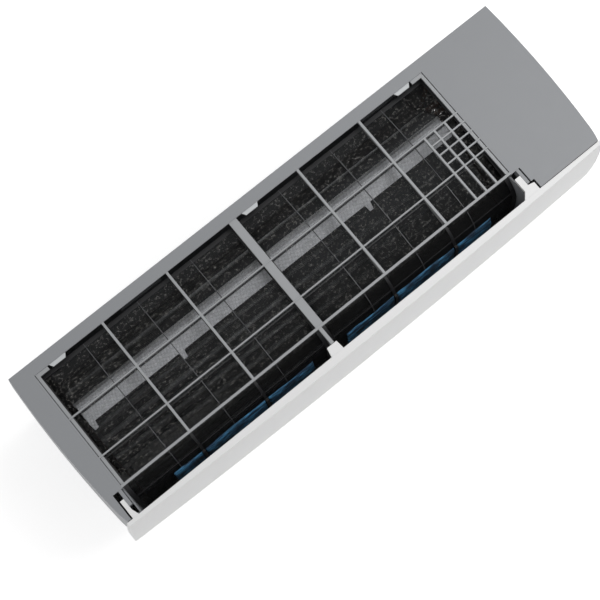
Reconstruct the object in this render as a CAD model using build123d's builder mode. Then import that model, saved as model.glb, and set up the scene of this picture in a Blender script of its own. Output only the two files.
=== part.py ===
"""Indoor unit of a split air conditioner, made to hang on a wall.

Millimetres. X runs to the right as seen from the room, Y runs back into the wall and Z runs up.
The origin lies on the wall, halfway across the unit and halfway up it. Each function below makes
one piece, or one group of like pieces, where it sits in the closed and switched-off unit.
Points of the cross section are written (Y, Z).
"""

import math
import os

from build123d import *

os.makedirs("parts", exist_ok=True)

# ================================================================ driving sizes
# Sizes further down build on those above them. A piece in the upper half is placed by its drop
# below the top, one in the lower half by its rise above the bottom, and one near the front by its
# distance from the case's front, so that each keeps its place when the case changes.
# ---- case
HEIGHT = 294.0
TOP_Z = HEIGHT / 2
BOTTOM_Z = -HEIGHT / 2
WALL = 2.5  # moulded case and panel
CASE_REAR_Y = -0.5  # the case stops just short of the wall
FRONT_PLANE_Y = -236.7  # case front behind the panel
BAND_STEP = 7.3  # by which the lower front band stands out from it
BAND_FRONT_Y = FRONT_PLANE_Y - BAND_STEP
BOTTOM_FRONT_Y = -166.0
FIT = 0.4  # between mouldings that sit one in the other

# Half widths of the case at the wall, at mid depth, at the front shoulder and at the front. The
# ends lean outwards from the top to the belly and turn back in below it.
PLAN_MID_Y = -100.0
PLAN_SHOULDER_Y = FRONT_PLANE_Y + 20.7
PLAN_FRONT_Y = BAND_FRONT_Y - 1.0
BELLY_RISE = 114.0
TOP_HALVES = (398.9, 401.3, 395.1, 388.0)
BELLY_HALVES = (409.3, 411.3, 406.8, 400.7)
BOTTOM_HALVES = (404.3, 406.3, 401.7, 395.5)

# ---- air outlet
OUTLET_TOP = (FRONT_PLANE_Y - 3.3, BOTTOM_Z + 75.0)
OUTLET_BOTTOM = (-180.0, BOTTOM_Z + 12.0)
OUTLET_BULGE = 6.0
OUTLET_LEFT = -350.0
OUTLET_RIGHT = 266.0
OUTLET_DEPTH = 10.0  # of the cut that opens it

# ---- lower front band
BAND_DRAFT = 1.0  # by which it leans back at the window's lower edge
WINDOW_X = (305.0, 347.0)
WINDOW_Z = (BOTTOM_Z + 87.0, BOTTOM_Z + 103.0)
WINDOW_THICK = 1.6
WINDOW_RECESS = 0.9
WINDOW_FIT = 0.2
BUTTON_X = 364.0
BUTTON_Z = BOTTOM_Z + 95.0
BUTTON_R = 4.0
BUTTON_TRAVEL = 1.5
BUTTON_FRONT_Y = BAND_FRONT_Y + 0.4
BUTTON_FLANGE = 1.5
DISPLAY_Y = BAND_FRONT_Y + 15.0  # front face of the display board
DISPLAY_X = (WINDOW_X[0] - 4.0, BUTTON_X + 10.0)
DISPLAY_DEPTHS = (1.6, 4.0, 3.5)  # board, lamps, switch
DISPLAY_LAMPS = (0.2, 0.45, 0.7)  # shares of the window's width
LAMP_HALF = 2.0
SWITCH_HALF = 3.0
DISPLAY_LUG_X = (DISPLAY_X[0] + 1.5, DISPLAY_X[1] - 2.5)
DISPLAY_LUG = 2.0

# ---- intake and its grille
INTAKE_LEFT = -370.5
INTAKE_RIGHT = 272.1
INTAKE_REAR_Y = -17.8
RIB_DEPTH = 4.5
RIB_WIDTH = 3.4
CROSS_RIB_X = (-262.2, -158.0, 59.2, 163.7)
CENTRE_RIB_X = -49.5
CENTRE_RIB_WIDTH = 11.9
CENTRE_RIB_DROP = 0.8
LONG_RIB_Y = (-89.6, -151.6)
LONG_RIB_WIDTH = 2.0
FRONT_BAR_Y = FRONT_PLANE_Y + 39.6
FRONT_BAR_WIDTH = 3.4
LEDGE_WIDTH = 5.2
LEDGE_DROP = 1.4
GROOVE = 0.7
CORNER_LEDGE = 20.0
FINE_RIB_X = (215.5, 232.7, 250.3)
FINE_RIB_WIDTH = 2.8
FINE_BAR_PITCH = 15.5
FINE_BAR_WIDTH = 2.1
FINE_BARS = 3
SUPPORT_X = (-53.6, -48.7)
SUPPORT_FRONT_Y = FRONT_PLANE_Y + 12.7
SUPPORT_DEPTH = 7.0
CATCH_X = (-335.0, -21.0, 236.8)
CATCH_BASE = 26.0
CATCH_TIP = 19.0
CATCH_REACH = 5.4
CATCH_THICK = 2.2

# ---- filters: (Y, drop below the top) along the curve, rear end first
FILTER_REAR = (INTAKE_REAR_Y - 3.2, 15.0)
FILTER_CREST = (-110.0, 8.5)
FILTER_SHOULDER = (FRONT_PLANE_Y + 50.7, 16.0)
FILTER_BEND = (FRONT_PLANE_Y + 14.7, 52.0)
FILTER_KNEE = (FRONT_PLANE_Y + 10.2, 90.0)
FILTER_TO_PAN = 9.0  # from its lower end to the level of the drain pan's rim
FILTER_THICK = 1.6
FILTER_EDGE = 6.0
FILTER_MAIN_RIB = 4.0
FILTER_MAIN_RIB_OFFSET = 52.2
FILTER_THIN_RIB = 1.2
FILTER_THIN_RIB_OFFSET = 87.5
FILTER_LONG_RIBS = 4
MESH_THICK = 0.5
MESH_GAP = 0.05
MESH_LAP = 1.0  # under the frame's edge
MESH_BAR = 2.4
MESH_OPENINGS = 12  # each way
FILTER_SEAT = 0.3  # filter to rail
FILTER_SIDE_GAP = 0.6
CENTRE_WEB = 2.2
CENTRE_WEB_RISE = 3.0  # beyond the filter's line where no rib covers it
RAIL_THICK = 1.6
RAIL_SHELF = 4.6
RAIL_WEB = (0.2, 2.4)  # its two sides, outwards from the intake's side
STRIP_THICK = 3.6
STRIP_SHARES = (0.64, 0.77)  # along the filter's curve
STRIP_LENGTH = 250.0
STRIP_SHIFT = {"left": 24.0, "right": -11.0}

# ---- front panel
PANEL_GAP = 0.8
PANEL_BOTTOM_Z = BOTTOM_Z + 116.0
PANEL_HALVES = (393.5, 404.5, 409.5)  # at the top, the middle and the bottom
PANEL_END_DEPTHS = (5.8, 10.8, 9.8)  # in front of the case, at its ends
PANEL_MID_DEPTHS = (11.9, 17.3, 16.1)  # and in its middle
PANEL_MID_SHARE = 0.534  # of the panel's height, where it is deepest
PANEL_TOP_THICK = 3.0
PANEL_CORNER_R = 9.0
HINGE_Y = FRONT_PLANE_Y + 18.7
HINGE_DROP = 3.0
HINGE_PIN_R = 1.8
RUNNING_GAP = 0.08  # shaft in hole, on the radius
SIDE_GAP = 0.3  # beside a part that turns
ARM_TOP_DROP = 0.5
ARM_DEPTH = 5.5
LEFT_ARM_X = (INTAKE_LEFT - 13.4, INTAKE_LEFT - 7.7)
RIGHT_ARM_X = (INTAKE_RIGHT - 1.2, INTAKE_RIGHT + 7.6)
CENTRE_ARM_X = (-60.9, -45.4)
LEFT_ARM_REAR_Y = HINGE_Y + 7.0
LEFT_ARM_WIDENS = 5.0  # in front of the seats
RIGHT_ARM_REAR_Y = HINGE_Y + 10.3
RIGHT_ARM_FOOT = (10.0, 9.0)  # by which its foot is wider to the left and the right
RIGHT_ARM_WIDENS = (6.0, 1.5, 3.5)  # on the left, and where the right side starts and ends
CENTRE_ARM_REAR_Y = SUPPORT_FRONT_Y - 0.6
CENTRE_ARM_FOOT = (3.2, 1.8)
NOTCH_REAR_Y = HINGE_Y + 18.5
NOTCH_DEPTH = 15.0
LEFT_NOTCH_X = LEFT_ARM_X[0] - 2.3
RIGHT_NOTCH_X = (RIGHT_ARM_X[1] + 6.7, RIGHT_ARM_X[1] + 11.7)
RIGHT_NOTCH_STEP_Y = HINGE_Y - 4.7
SEAT_WIDTH = 4.5
SEAT_FRONT_Y = HINGE_Y - 4.5

# ---- fan and its duct
FAN = (-108.0, BOTTOM_Z + 142.0)
FAN_R = 46.0
FAN_LEFT = OUTLET_LEFT + 4.0
FAN_RIGHT = OUTLET_RIGHT - 5.0
FAN_BLADES = 28
FAN_SEGMENTS = 4
BLADE_DEPTH = 10.0
BLADE_THICK = 1.2
BLADE_BOW = 2.6
BLADE_SWEEP = 9.0  # degrees by which a blade's inner edge trails its outer edge
RING_THICK = 2.2
RING_LIP = 0.5
HUB_R = 11.0
HUB_LENGTH = 16.0
HUB_PLAY = 2.0  # round the hub where it passes the duct's wall
SHAFT_R = 4.0
SHAFT_FIT = 0.03
HUB_SCREW_R = 2.0
BEARING_R = 7.0
BEARING_LENGTH = 5.0
BEARING_STAND = 4.0  # of the bearing outside the duct's wall
HOLDER_R = 12.0
DUCT_WALL = 2.5
DUCT_TO_COIL = 6.0
DUCT_MOUTH = 14.0  # of the outlet's mouth that its end walls stay short of, at each lip
DUCT_FOOT = 20.0  # by which they reach down beside the pipe channel
GUIDE_START = (20.0, 7.0)  # (degrees, gap to the fan) where the air guide starts
GUIDE_TURN = (-75.0, 34.0)  # and where it runs straight on to the outlet
GUIDE_END = (-174.0, BOTTOM_Z + 16.0)
TONGUE = (FAN[0] - 48.0, FAN[1] - 19.0)  # lip of the drain pan beside the fan
TONGUE_RISE = (3.0, 7.0)

# ---- drain pan
PAN_X = (INTAKE_LEFT - 5.5, INTAKE_RIGHT - 2.1)
PAN_WALL = 2.5
PAN_REAR = (FAN[0] - 68.0, FAN[1] - 4.0)
PAN_SILL = (PAN_REAR[0] - 5.0, PAN_REAR[1])
PAN_FRONT_Y = FRONT_PLANE_Y + 6.7
PAN_RIM_Z = PANEL_BOTTOM_Z + 3.0
PAN_FLOOR_Z = (PAN_RIM_Z - 19.0, PAN_RIM_Z - 22.0)
PAN_NOSE = (OUTLET_TOP[0] + 6.0, OUTLET_TOP[1] + 3.0)

# ---- coil: upper end and lower end of each slab's middle line
COIL_THICK = 22.0
COIL_LEFT = OUTLET_LEFT - 7.0
COIL_RIGHT = OUTLET_RIGHT - 8.0
END_PLATE = 1.2
END_PLATE_RIM = 1.5
COIL_SEAT = 0.1  # between the lower slab's end plates and the pan
COIL_FRONT_Y = FRONT_PLANE_Y + 33.7
COIL_SLABS = {
    "coil_rear": ((-83.0, TOP_Z - 34.8), (-31.0, BOTTOM_Z + 187.0)),
    "coil_front_upper": ((-99.0, TOP_Z - 38.0), (COIL_FRONT_Y + 19.0, TOP_Z - 81.0)),
    "coil_front_lower": (
        (COIL_FRONT_Y, TOP_Z - 93.0),
        (COIL_FRONT_Y, PAN_FLOOR_Z[0] + END_PLATE_RIM + COIL_SEAT),
    ),
}
TUBE_R = 3.5
TUBE_PITCH = 19.0
LEFT_BENDS = 2  # per slab
RIDGE_THICK = 1.2
RIDGE_GAP = 0.3  # between the ridge plate and the rear slab's upper end
RIDGE_REAR_SHIFT = 8.66  # from the rear slab's middle line to the plate's rear edge
RIDGE_DROPS = (
    (-81.5, 24.6), (-83.5, 24.4), (-84.8, 29.0), (-88.8, 29.0),
    (-90.3, 24.2), (-97.0, 23.4), (-106.0, 27.95),
)
RIDGE_X = (COIL_LEFT + 2.0, COIL_RIGHT - 3.0)
RIDGE_TAB_X = (-351.0, -206.0, 107.0)
RIDGE_TAB_LENGTH = 10.5
RIDGE_TAB_WIDTHS = (9.5, 5.5)
RIDGE_TAB_ROOT = 1.0

# ---- chassis
CHASSIS_WALL = 3.0
CHANNEL_HALF = 395.0
CHANNEL_DEPTH = 42.0
CHANNEL_TOP_Z = BOTTOM_Z + 61.0
TROUGH_WALL = 2.5
TROUGH_FRONT_Y = -50.0
TROUGH_LIP = 8.0
TROUGH_X = (COIL_LEFT - 3.0, COIL_RIGHT + 4.0)
HOOK_X = 200.0
HOOK_WIDTH = 60.0
HOOK_HEIGHT = 16.0
HOOK_DEPTH = 12.0
HOOK_Z = TOP_Z - 47.0
BOSS_R = 5.0
CASE_SCREW_X = (-300.0, -40.0, 215.0)
CASE_SCREW_Y = -150.0
SCREW_R = 1.8
SCREW_LENGTH = 8.0  # in the boss
SCREW_HOLE = 10.0
SCREW_HEAD_R = 3.6
SCREW_HEAD = 1.8

# ---- fan motor
MOTOR_R = 42.0
MOTOR_X = (OUTLET_RIGHT + 8.0, OUTLET_RIGHT + 74.0)
MOTOR_CHAMFER = 3.0
MOTOR_BOSS_R = 12.0
MOTOR_RING_R = 16.0
MOTOR_RING = 4.0
MOTOR_SHAFT_REACH = 30.0  # into the motor
MOTOR_SHAFT_PLAY = 3.0  # past the shaft's end
MOTOR_SHAFT_END_X = MOTOR_X[0] + MOTOR_SHAFT_REACH
CRADLE_HALF = 24.0
CLAMP_THICK = 3.0

# ---- electrical side
BOX_X = (OUTLET_RIGHT + 25.0, OUTLET_RIGHT + 120.0)
BOX_Y = (FRONT_PLANE_Y + 10.7, FAN[0] - MOTOR_R - 10.0)
BOX_Z = (BOTTOM_Z + 123.0, TOP_Z - 21.0)
BOX_WALL = 2.0
BOX_LUG_Y = (BOX_Y[1] - 14.0, BOX_Y[1] - 11.0)
BOX_LUG_Z = (BOX_Z[0] + 25.0, BOX_Z[0] + 55.0)
BOX_PEG_R = 3.0
BOX_LID = 1.2
BOARD_MARGIN = 5.0
BOARD_THICK = 1.6
BOARD_STANDOFF = 5.0
# what stands on the board: shares of its width, height above it, shares of its free length
BOARD_PARTS = (
    ((0.10, 0.49), 16.0, (0.08, 0.28)),
    ((0.57, 0.81), 18.0, (0.11, 0.37)),
    ((0.10, 0.37), 12.0, (0.56, 0.72)),
    ((0.54, 0.88), 9.0, (0.65, 0.78)),
)
CAPACITORS = ((0.25, 0.41), (0.44, 0.81))
CAPACITOR_R = 8.0
CAPACITOR_HEIGHT = 22.0
TERMINAL_X = (BOX_X[0] + 9.0, BOX_X[1] - 14.0)
TERMINAL_HEIGHT = 20.0
TERMINAL_POLES = 4
TERMINAL_POCKET = 0.36  # half width of a pole's pocket, in pitches
TERMINAL_BACK = 3.0  # behind the box's open face
TERMINAL_DEPTH = 16.0
TERMINAL_POCKET_DEPTH = 6.0
TERMINAL_RIM = 4.0
TERMINAL_SCREW = (3.4, 3.0)  # head radius and height
COVER_X = (BOX_X[0] + 5.0, BOX_X[1] - 4.0)
COVER_Z = (BOX_Z[0] + 8.0, BOX_Z[0] + 86.0)
COVER_LAP = 4.0
COVER_THICK = 2.0
COVER_GAP = 0.1

# ---- pipes and the flare nuts on their free ends
LIQUID_R = 3.2
LIQUID_NUT = (8.5, 5.56, 12.0)  # half across flats, thread radius, thread length
LIQUID_ROUTE = (0.404, -14.0, 23.0)  # share down the rear slab, Y and drop of the next bend
LIQUID_X = (298.0, -65.0)
GAS_R = 4.8
GAS_NUT = (11.0, 7.94, 13.0)
GAS_ROUTE = (0.692, -28.0, 36.0)
GAS_X = (324.0, -104.0)
PIPE_DROP = 11.0  # from the channel's top to the middle lines
PIPE_PASS = 1.2  # round a pipe where it enters the channel
NUT_COLLAR = 8.0
PIPE_BEND = 3.0  # bend radius in pipe radii
PIPE_SIDES = 12
NUT_DROP = 4.0  # nut's shoulder below the end of the last bend
SPIGOT_X = -300.0
SPIGOT_Y = -21.0
SPIGOT_R = 8.0
SPIGOT_BORE = 6.0
SPIGOT_LENGTH = 24.0
SPIGOT_FLANGE_R = 12.0
SPIGOT_FLANGE = 2.0

# ---- louver and vanes
LOUVER_PIVOT_IN = (4.0, 3.5)  # from the middle of the outlet's mouth, inwards and up
LOUVER_THICK = 2.2
LOUVER_END_GAP = 1.5
LOUVER_LIP_GAP = 2.0
LOUVER_PIN_R = 3.0
LOUVER_PIN_REACH = 3.0  # beyond the duct's wall
LOUVER_EAR = 3.0
LOUVER_EAR_R = 6.0
LOUVER_EAR_FOOT = (0.36, 0.64)  # shares of the flap's curve
LOUVER_MOTOR_R = 14.0
LOUVER_MOTOR_SHIFT = 8.0
LOUVER_MOTOR_X = (OUTLET_RIGHT + DUCT_WALL + 0.5, OUTLET_RIGHT + 22.0)
LOUVER_MOTOR_BORE = 5.0
LOUVER_MOTOR_LUG = (7.0, 1.0)  # width and thickness
VANE_COUNT = 5
VANE_PITCH = 56.0
VANE_THICK = 1.5
VANE_BACK = 54.0  # pivot's distance up the duct from the end of the guide
VANE_LIFT = 2.5
VANE_TOP = 76.0
VANE_FRONT = 21.0
VANE_REAR = -20.0
VANE_REAR_TOP = 45.6
VANE_SWING = 30.0  # degrees to each side
VANE_PIN_R = 2.5
VANE_PIN_FIT = 0.2  # short of the floor's outer face
VANE_PIN_ROOT = 3.0  # inside the vane
CRANK = 16.0  # on the vane's base plane local y runs up the duct, where the crank pins lie
CRANK_PIN_R = 1.5
CRANK_PIN_END = 1.0
CRANK_SLACK = 0.35
SLOT_PLAY = 0.3
BAR_THICK = 2.0
BAR_WIDTH = 11.0
BAR_LIFT = 5.0
BAR_END = 12.0
BAR_CLEAR = 2.0  # from the bar to the vane above it
BAR_NOTCH = 3.5  # from the bar to the vane beside it
BAR_SHIFT = 0.2  # up the duct from the middle of the pins' travel
VANE_GROUPS = {"left": -196.0, "right": 112.0}

# ================================================================ worked out from the above
PANEL_DROP = TOP_Z - PANEL_BOTTOM_Z
PANEL_REAR_Y = FRONT_PLANE_Y - PANEL_GAP
HINGE = (HINGE_Y, TOP_Z - HINGE_DROP)
INTAKE_WIDTH = INTAKE_RIGHT - INTAKE_LEFT
FILTER_WIDTH = (INTAKE_WIDTH - CENTRE_WEB - 4 * FILTER_SIDE_GAP) / 2
FILTER_TAIL = TOP_Z - FILTER_KNEE[1] - PAN_RIM_Z - FILTER_TO_PAN
CENTRE_WEB_X = (INTAKE_LEFT + INTAKE_RIGHT) / 2
FILTER_CENTRES = {
    "left": INTAKE_LEFT + FILTER_SIDE_GAP + FILTER_WIDTH / 2,
    "right": INTAKE_RIGHT - FILTER_SIDE_GAP - FILTER_WIDTH / 2,
}


def heading(start, end):
    """Angle in degrees of the line between two points of the cross section."""
    return math.degrees(math.atan2(end[1] - start[1], end[0] - start[0]))


def away(point, angle, distance):
    """The point at a distance from another, at an angle in the cross section."""
    turn = math.radians(angle)
    return (point[0] + distance * math.cos(turn), point[1] + distance * math.sin(turn))


def middle(first, second):
    """The point halfway between two."""
    return ((first[0] + second[0]) / 2, (first[1] + second[1]) / 2)


OUTLET_HEADING = heading(OUTLET_TOP, OUTLET_BOTTOM)
OUTLET_OUTWARD = OUTLET_HEADING - 90.0
OUTLET_MIDDLE = middle(OUTLET_TOP, OUTLET_BOTTOM)
LOUVER_PIVOT = (OUTLET_MIDDLE[0] + LOUVER_PIVOT_IN[0], OUTLET_MIDDLE[1] + LOUVER_PIVOT_IN[1])
GUIDE_TURN_POINT = away(FAN, GUIDE_TURN[0], FAN_R + GUIDE_TURN[1] + DUCT_WALL / 2)
GUIDE_START_POINT = away(FAN, GUIDE_START[0], FAN_R + GUIDE_START[1] + DUCT_WALL / 2)
FLOW = heading(GUIDE_TURN_POINT, GUIDE_END)  # the air's way along the duct's floor
FLOOR_UP = FLOW - 90.0  # square to the floor, into the duct
VANE_FLOOR = away(away(GUIDE_END, FLOW + 180.0, VANE_BACK), FLOOR_UP, DUCT_WALL / 2)
REAR_SLAB_HEADING = heading(*COIL_SLABS["coil_rear"])
RIDGE_REAR = away(
    away(COIL_SLABS["coil_rear"][0], REAR_SLAB_HEADING + 180.0, RIDGE_THICK / 2 + RIDGE_GAP),
    REAR_SLAB_HEADING + 90.0,
    RIDGE_REAR_SHIFT,
)
RIDGE_POINTS = [RIDGE_REAR] + [(y, TOP_Z - drop) for y, drop in RIDGE_DROPS]
REAR_SLAB_LOW = away(
    away(COIL_SLABS["coil_rear"][1], REAR_SLAB_HEADING, END_PLATE_RIM),
    REAR_SLAB_HEADING - 90.0,
    COIL_THICK / 2 + END_PLATE_RIM,
)
TROUGH_Z = REAR_SLAB_LOW[1] - FIT


def slab_point(name, share, depth=0.0):
    """Point a share of the way down a slab's middle line, moved towards the fan by a depth."""
    start, end = COIL_SLABS[name]
    along = heading(start, end)
    inward = along - 90.0 if name == "coil_rear" else along + 90.0
    return away(away(start, along, share * math.dist(start, end)), inward, depth)


def pipe_route(route):
    """A pipe's start on the rear slab, its next bend and the level of its run in the channel."""
    share, next_y, drop = route
    start = slab_point("coil_rear", share)
    return start, (next_y, start[1] - drop), CHANNEL_TOP_Z - PIPE_DROP


def across(x, origin=(0.0, 0.0), angle=0.0):
    """Plane across the unit at x: local x lies along +Y turned by an angle, local y above it."""
    turn = math.radians(angle)
    return Plane(
        origin=(x, origin[0], origin[1]),
        x_dir=(0, math.cos(turn), math.sin(turn)),
        z_dir=(1, 0, 0),
    )


def write(piece, label):
    """Names a finished piece and writes it to its own file."""
    piece.part.label = label
    export_step(piece.part, f"parts/{label}.step")


def block(x_range, y_range, z_range, mode=Mode.ADD):
    """Box between two limits on each axis, added to or cut from the piece in hand."""
    ranges = (x_range, y_range, z_range)
    with Locations(tuple((low + high) / 2 for low, high in ranges)):
        Box(*(abs(high - low) for low, high in ranges), mode=mode)


def slab_face(points, x):
    """Closed outline of the cross section on the plane at x."""
    with BuildSketch(Plane.YZ.offset(x)) as outline:
        with BuildLine():
            Polyline(*points, close=True)
        make_face()
    return outline.sketch


# ================================================================ outer mouldings
def case_form(inset):
    """Solid with the case's outside, or the same form drawn in by a wall and open to the rear."""
    rear_y = CASE_REAR_Y if inset == 0 else CASE_REAR_Y + 2 * WALL
    levels = (
        (TOP_Z, TOP_HALVES),
        (BOTTOM_Z + BELLY_RISE, BELLY_HALVES),
        (BOTTOM_Z, BOTTOM_HALVES),
    )
    with BuildPart() as form:
        for level, halves in levels:
            rear, mid, shoulder, front = (half - inset for half in halves)
            with BuildSketch(Plane.XY.offset(level)):
                with BuildLine():
                    Line((0, rear_y), (rear, rear_y))
                    side = ThreePointArc(
                        (rear, rear_y), (mid, PLAN_MID_Y), (shoulder, PLAN_SHOULDER_Y)
                    )
                    corner = TangentArc(side @ 1, (front, PLAN_FRONT_Y), tangent=side % 1)
                    Line(corner @ 1, (0, PLAN_FRONT_Y))
                    mirror(about=Plane.YZ)
                make_face()
        loft()
        with BuildSketch(Plane.YZ):
            with BuildLine():
                Polyline(
                    OUTLET_TOP,
                    (BAND_FRONT_Y + BAND_DRAFT, WINDOW_Z[0] - BAND_DRAFT),
                    (BAND_FRONT_Y, PANEL_BOTTOM_Z - PANEL_GAP),
                    (FRONT_PLANE_Y, PANEL_BOTTOM_Z - PANEL_GAP),
                    (FRONT_PLANE_Y, TOP_Z),
                    (CASE_REAR_Y, TOP_Z),
                    (CASE_REAR_Y, BOTTOM_Z),
                    (BOTTOM_FRONT_Y, BOTTOM_Z),
                    OUTLET_BOTTOM,
                )
                ThreePointArc(OUTLET_BOTTOM, outlet_middle(0.0), OUTLET_TOP)
            make_face()
            if inset:
                offset(amount=-inset, kind=Kind.INTERSECTION, mode=Mode.REPLACE)
                reach = CASE_REAR_Y - 2 * inset
                with Locations(((rear_y + reach) / 2, 0)):
                    Rectangle(rear_y - reach, HEIGHT - 2 * inset)
        extrude(amount=BELLY_HALVES[1] * 1.05, both=True, mode=Mode.INTERSECT)
    return form.part


def outlet_middle(depth):
    """Middle of the curved line that closes the outlet, a depth inside its outer surface."""
    return away(middle(OUTLET_TOP, OUTLET_BOTTOM), OUTLET_OUTWARD, OUTLET_BULGE - depth)


def filter_curve(shift=0.0):
    """The filter's line in the cross section, moved outwards by a shift."""
    rear, crest, shoulder, bend, knee = (
        (y, TOP_Z - drop)
        for y, drop in (FILTER_REAR, FILTER_CREST, FILTER_SHOULDER, FILTER_BEND, FILTER_KNEE)
    )
    with BuildLine():
        top = ThreePointArc(rear, crest, shoulder)
        corner = TangentArc(shoulder, bend, tangent=top % 1)
        front = TangentArc(bend, knee, tangent=corner % 1)

    def moved(edge, share):
        point, way = edge @ share, edge % share
        return (point.X + shift * way.Y, point.Y - shift * way.X)

    with BuildLine() as curve:
        ThreePointArc(moved(top, 0), moved(top, 0.5), moved(top, 1))
        TangentArc(moved(corner, 0), moved(corner, 1), tangent=corner % 0)
        last = TangentArc(moved(front, 0), moved(front, 1), tangent=front % 0)
        Line(last @ 1, last @ 1 + (front % 1) * FILTER_TAIL)
    return curve.wires()[0]


def filter_band(x, low, high, shares=(0.0, 1.0)):
    """Strip of the cross section between two shifts of the filter's curve."""
    line = filter_curve((low + high) / 2)
    if shares != (0.0, 1.0):
        line = line.trim(*shares)
    with BuildSketch(Plane.YZ.offset(x)) as band:
        trace(line, line_width=high - low)
    return band.sketch


def rail_web_face(x, rear_y, front_y, top_z):
    """Side of a filter rail: from the filter's underside to the moulding that carries it."""
    with BuildSketch(Plane.YZ.offset(x)) as web:
        with BuildLine():
            curve = filter_curve(-(FILTER_THICK / 2 + FILTER_SEAT + RAIL_THICK))
            add(curve)
            foot = curve @ 1
            start = curve @ 0
            Polyline(
                (foot.X, foot.Y), (front_y, foot.Y), (front_y, top_z), (start.X, top_z),
                (start.X, start.Y),
            )
        make_face()
    return web.sketch


def front_case():
    """Grey moulding: top, ends, lower front band and bottom, open to the wall."""
    outside, inside = case_form(0), case_form(WALL)
    near, far = RAIL_WEB
    webs = (
        (INTAKE_LEFT - far, INTAKE_LEFT - near, INTAKE_LEFT + RAIL_SHELF),
        (INTAKE_RIGHT + far, INTAKE_RIGHT + near, INTAKE_RIGHT - RAIL_SHELF),
    )
    rail_low = -(FILTER_THICK / 2 + FILTER_SEAT + RAIL_THICK)
    rail_high = -(FILTER_THICK / 2 + FILTER_SEAT)
    with BuildPart() as case:
        add(outside)
        add(inside, mode=Mode.SUBTRACT)
        # air intake, on into the open space between the front bar and the panel
        intake = (INTAKE_LEFT, INTAKE_RIGHT)
        inner_front_y = FRONT_PLANE_Y + WALL
        block(intake, (PANEL_REAR_Y, INTAKE_REAR_Y), (TOP_Z - 2 * WALL, TOP_Z + 1), Mode.SUBTRACT)
        block(
            intake,
            (PANEL_REAR_Y, inner_front_y + 1),
            (PANEL_BOTTOM_Z + 2 * WALL, TOP_Z + 1),
            Mode.SUBTRACT,
        )
        # filter rails under the two sides of the intake
        for outer, inner, shelf in webs:
            low, high = min(outer, inner), max(outer, inner)
            face = rail_web_face(low, FILTER_REAR[0], inner_front_y, TOP_Z - WALL)
            extrude(face, amount=high - low)
            low, high = min(outer, shelf), max(outer, shelf)
            extrude(filter_band(low, rail_low, rail_high), amount=high - low)
        # notches for the panel's arms
        notch_z = (TOP_Z - NOTCH_DEPTH, TOP_Z + 1)
        notch_y = (PANEL_REAR_Y, NOTCH_REAR_Y)
        step_y = (PANEL_REAR_Y, RIGHT_NOTCH_STEP_Y)
        block((LEFT_NOTCH_X, INTAKE_LEFT + 1), notch_y, notch_z, Mode.SUBTRACT)
        block((INTAKE_RIGHT - 1, RIGHT_NOTCH_X[0]), notch_y, notch_z, Mode.SUBTRACT)
        block((INTAKE_RIGHT - 1, RIGHT_NOTCH_X[1]), step_y, notch_z, Mode.SUBTRACT)
        # air outlet
        corners = (
            away(OUTLET_TOP, OUTLET_OUTWARD, 2 * OUTLET_DEPTH),
            away(OUTLET_BOTTOM, OUTLET_OUTWARD, 2 * OUTLET_DEPTH),
            away(OUTLET_BOTTOM, OUTLET_OUTWARD, -OUTLET_DEPTH),
            away(OUTLET_TOP, OUTLET_OUTWARD, -OUTLET_DEPTH),
        )
        outlet = slab_face(corners, OUTLET_LEFT)
        extrude(outlet, amount=OUTLET_RIGHT - OUTLET_LEFT, mode=Mode.SUBTRACT)
        # the pipe channel leaves the rear of the bottom open
        block(
            (-CHANNEL_HALF, CHANNEL_HALF),
            (-CHANNEL_DEPTH, 1.0),
            (BOTTOM_Z - 1, BOTTOM_Z + WALL + 1),
            Mode.SUBTRACT,
        )
        # receiver window and button in the lower front band
        block(WINDOW_X, (BAND_FRONT_Y - 2, BAND_FRONT_Y + 4 * WALL), WINDOW_Z, Mode.SUBTRACT)
        with BuildSketch(Plane.XZ.offset(-BAND_FRONT_Y - 4 * WALL)):
            with Locations((BUTTON_X, BUTTON_Z)):
                Circle(BUTTON_R + FIT)
        extrude(amount=5 * WALL, mode=Mode.SUBTRACT)
        # lugs that the display board rests on
        for x in DISPLAY_LUG_X:
            block(
                (x - DISPLAY_LUG / 2, x + DISPLAY_LUG / 2),
                (BAND_FRONT_Y + WALL, DISPLAY_Y - SIDE_GAP),
                (BUTTON_Z, BUTTON_Z + 2 * DISPLAY_LUG),
            )
        # terminal opening behind the panel
        block(
            (COVER_X[0] + COVER_LAP, COVER_X[1] - COVER_LAP),
            (PANEL_REAR_Y, inner_front_y + 1),
            (COVER_Z[0] + COVER_LAP, COVER_Z[1] - COVER_LAP),
            Mode.SUBTRACT,
        )
        # screw holes in the bottom
        with BuildSketch(Plane.XY.offset(BOTTOM_Z - 1)):
            with Locations(*((x, CASE_SCREW_Y) for x in CASE_SCREW_X)):
                Circle(SCREW_R + FIT)
        extrude(amount=WALL + 2, mode=Mode.SUBTRACT)
    write(case, "front_case")


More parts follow.
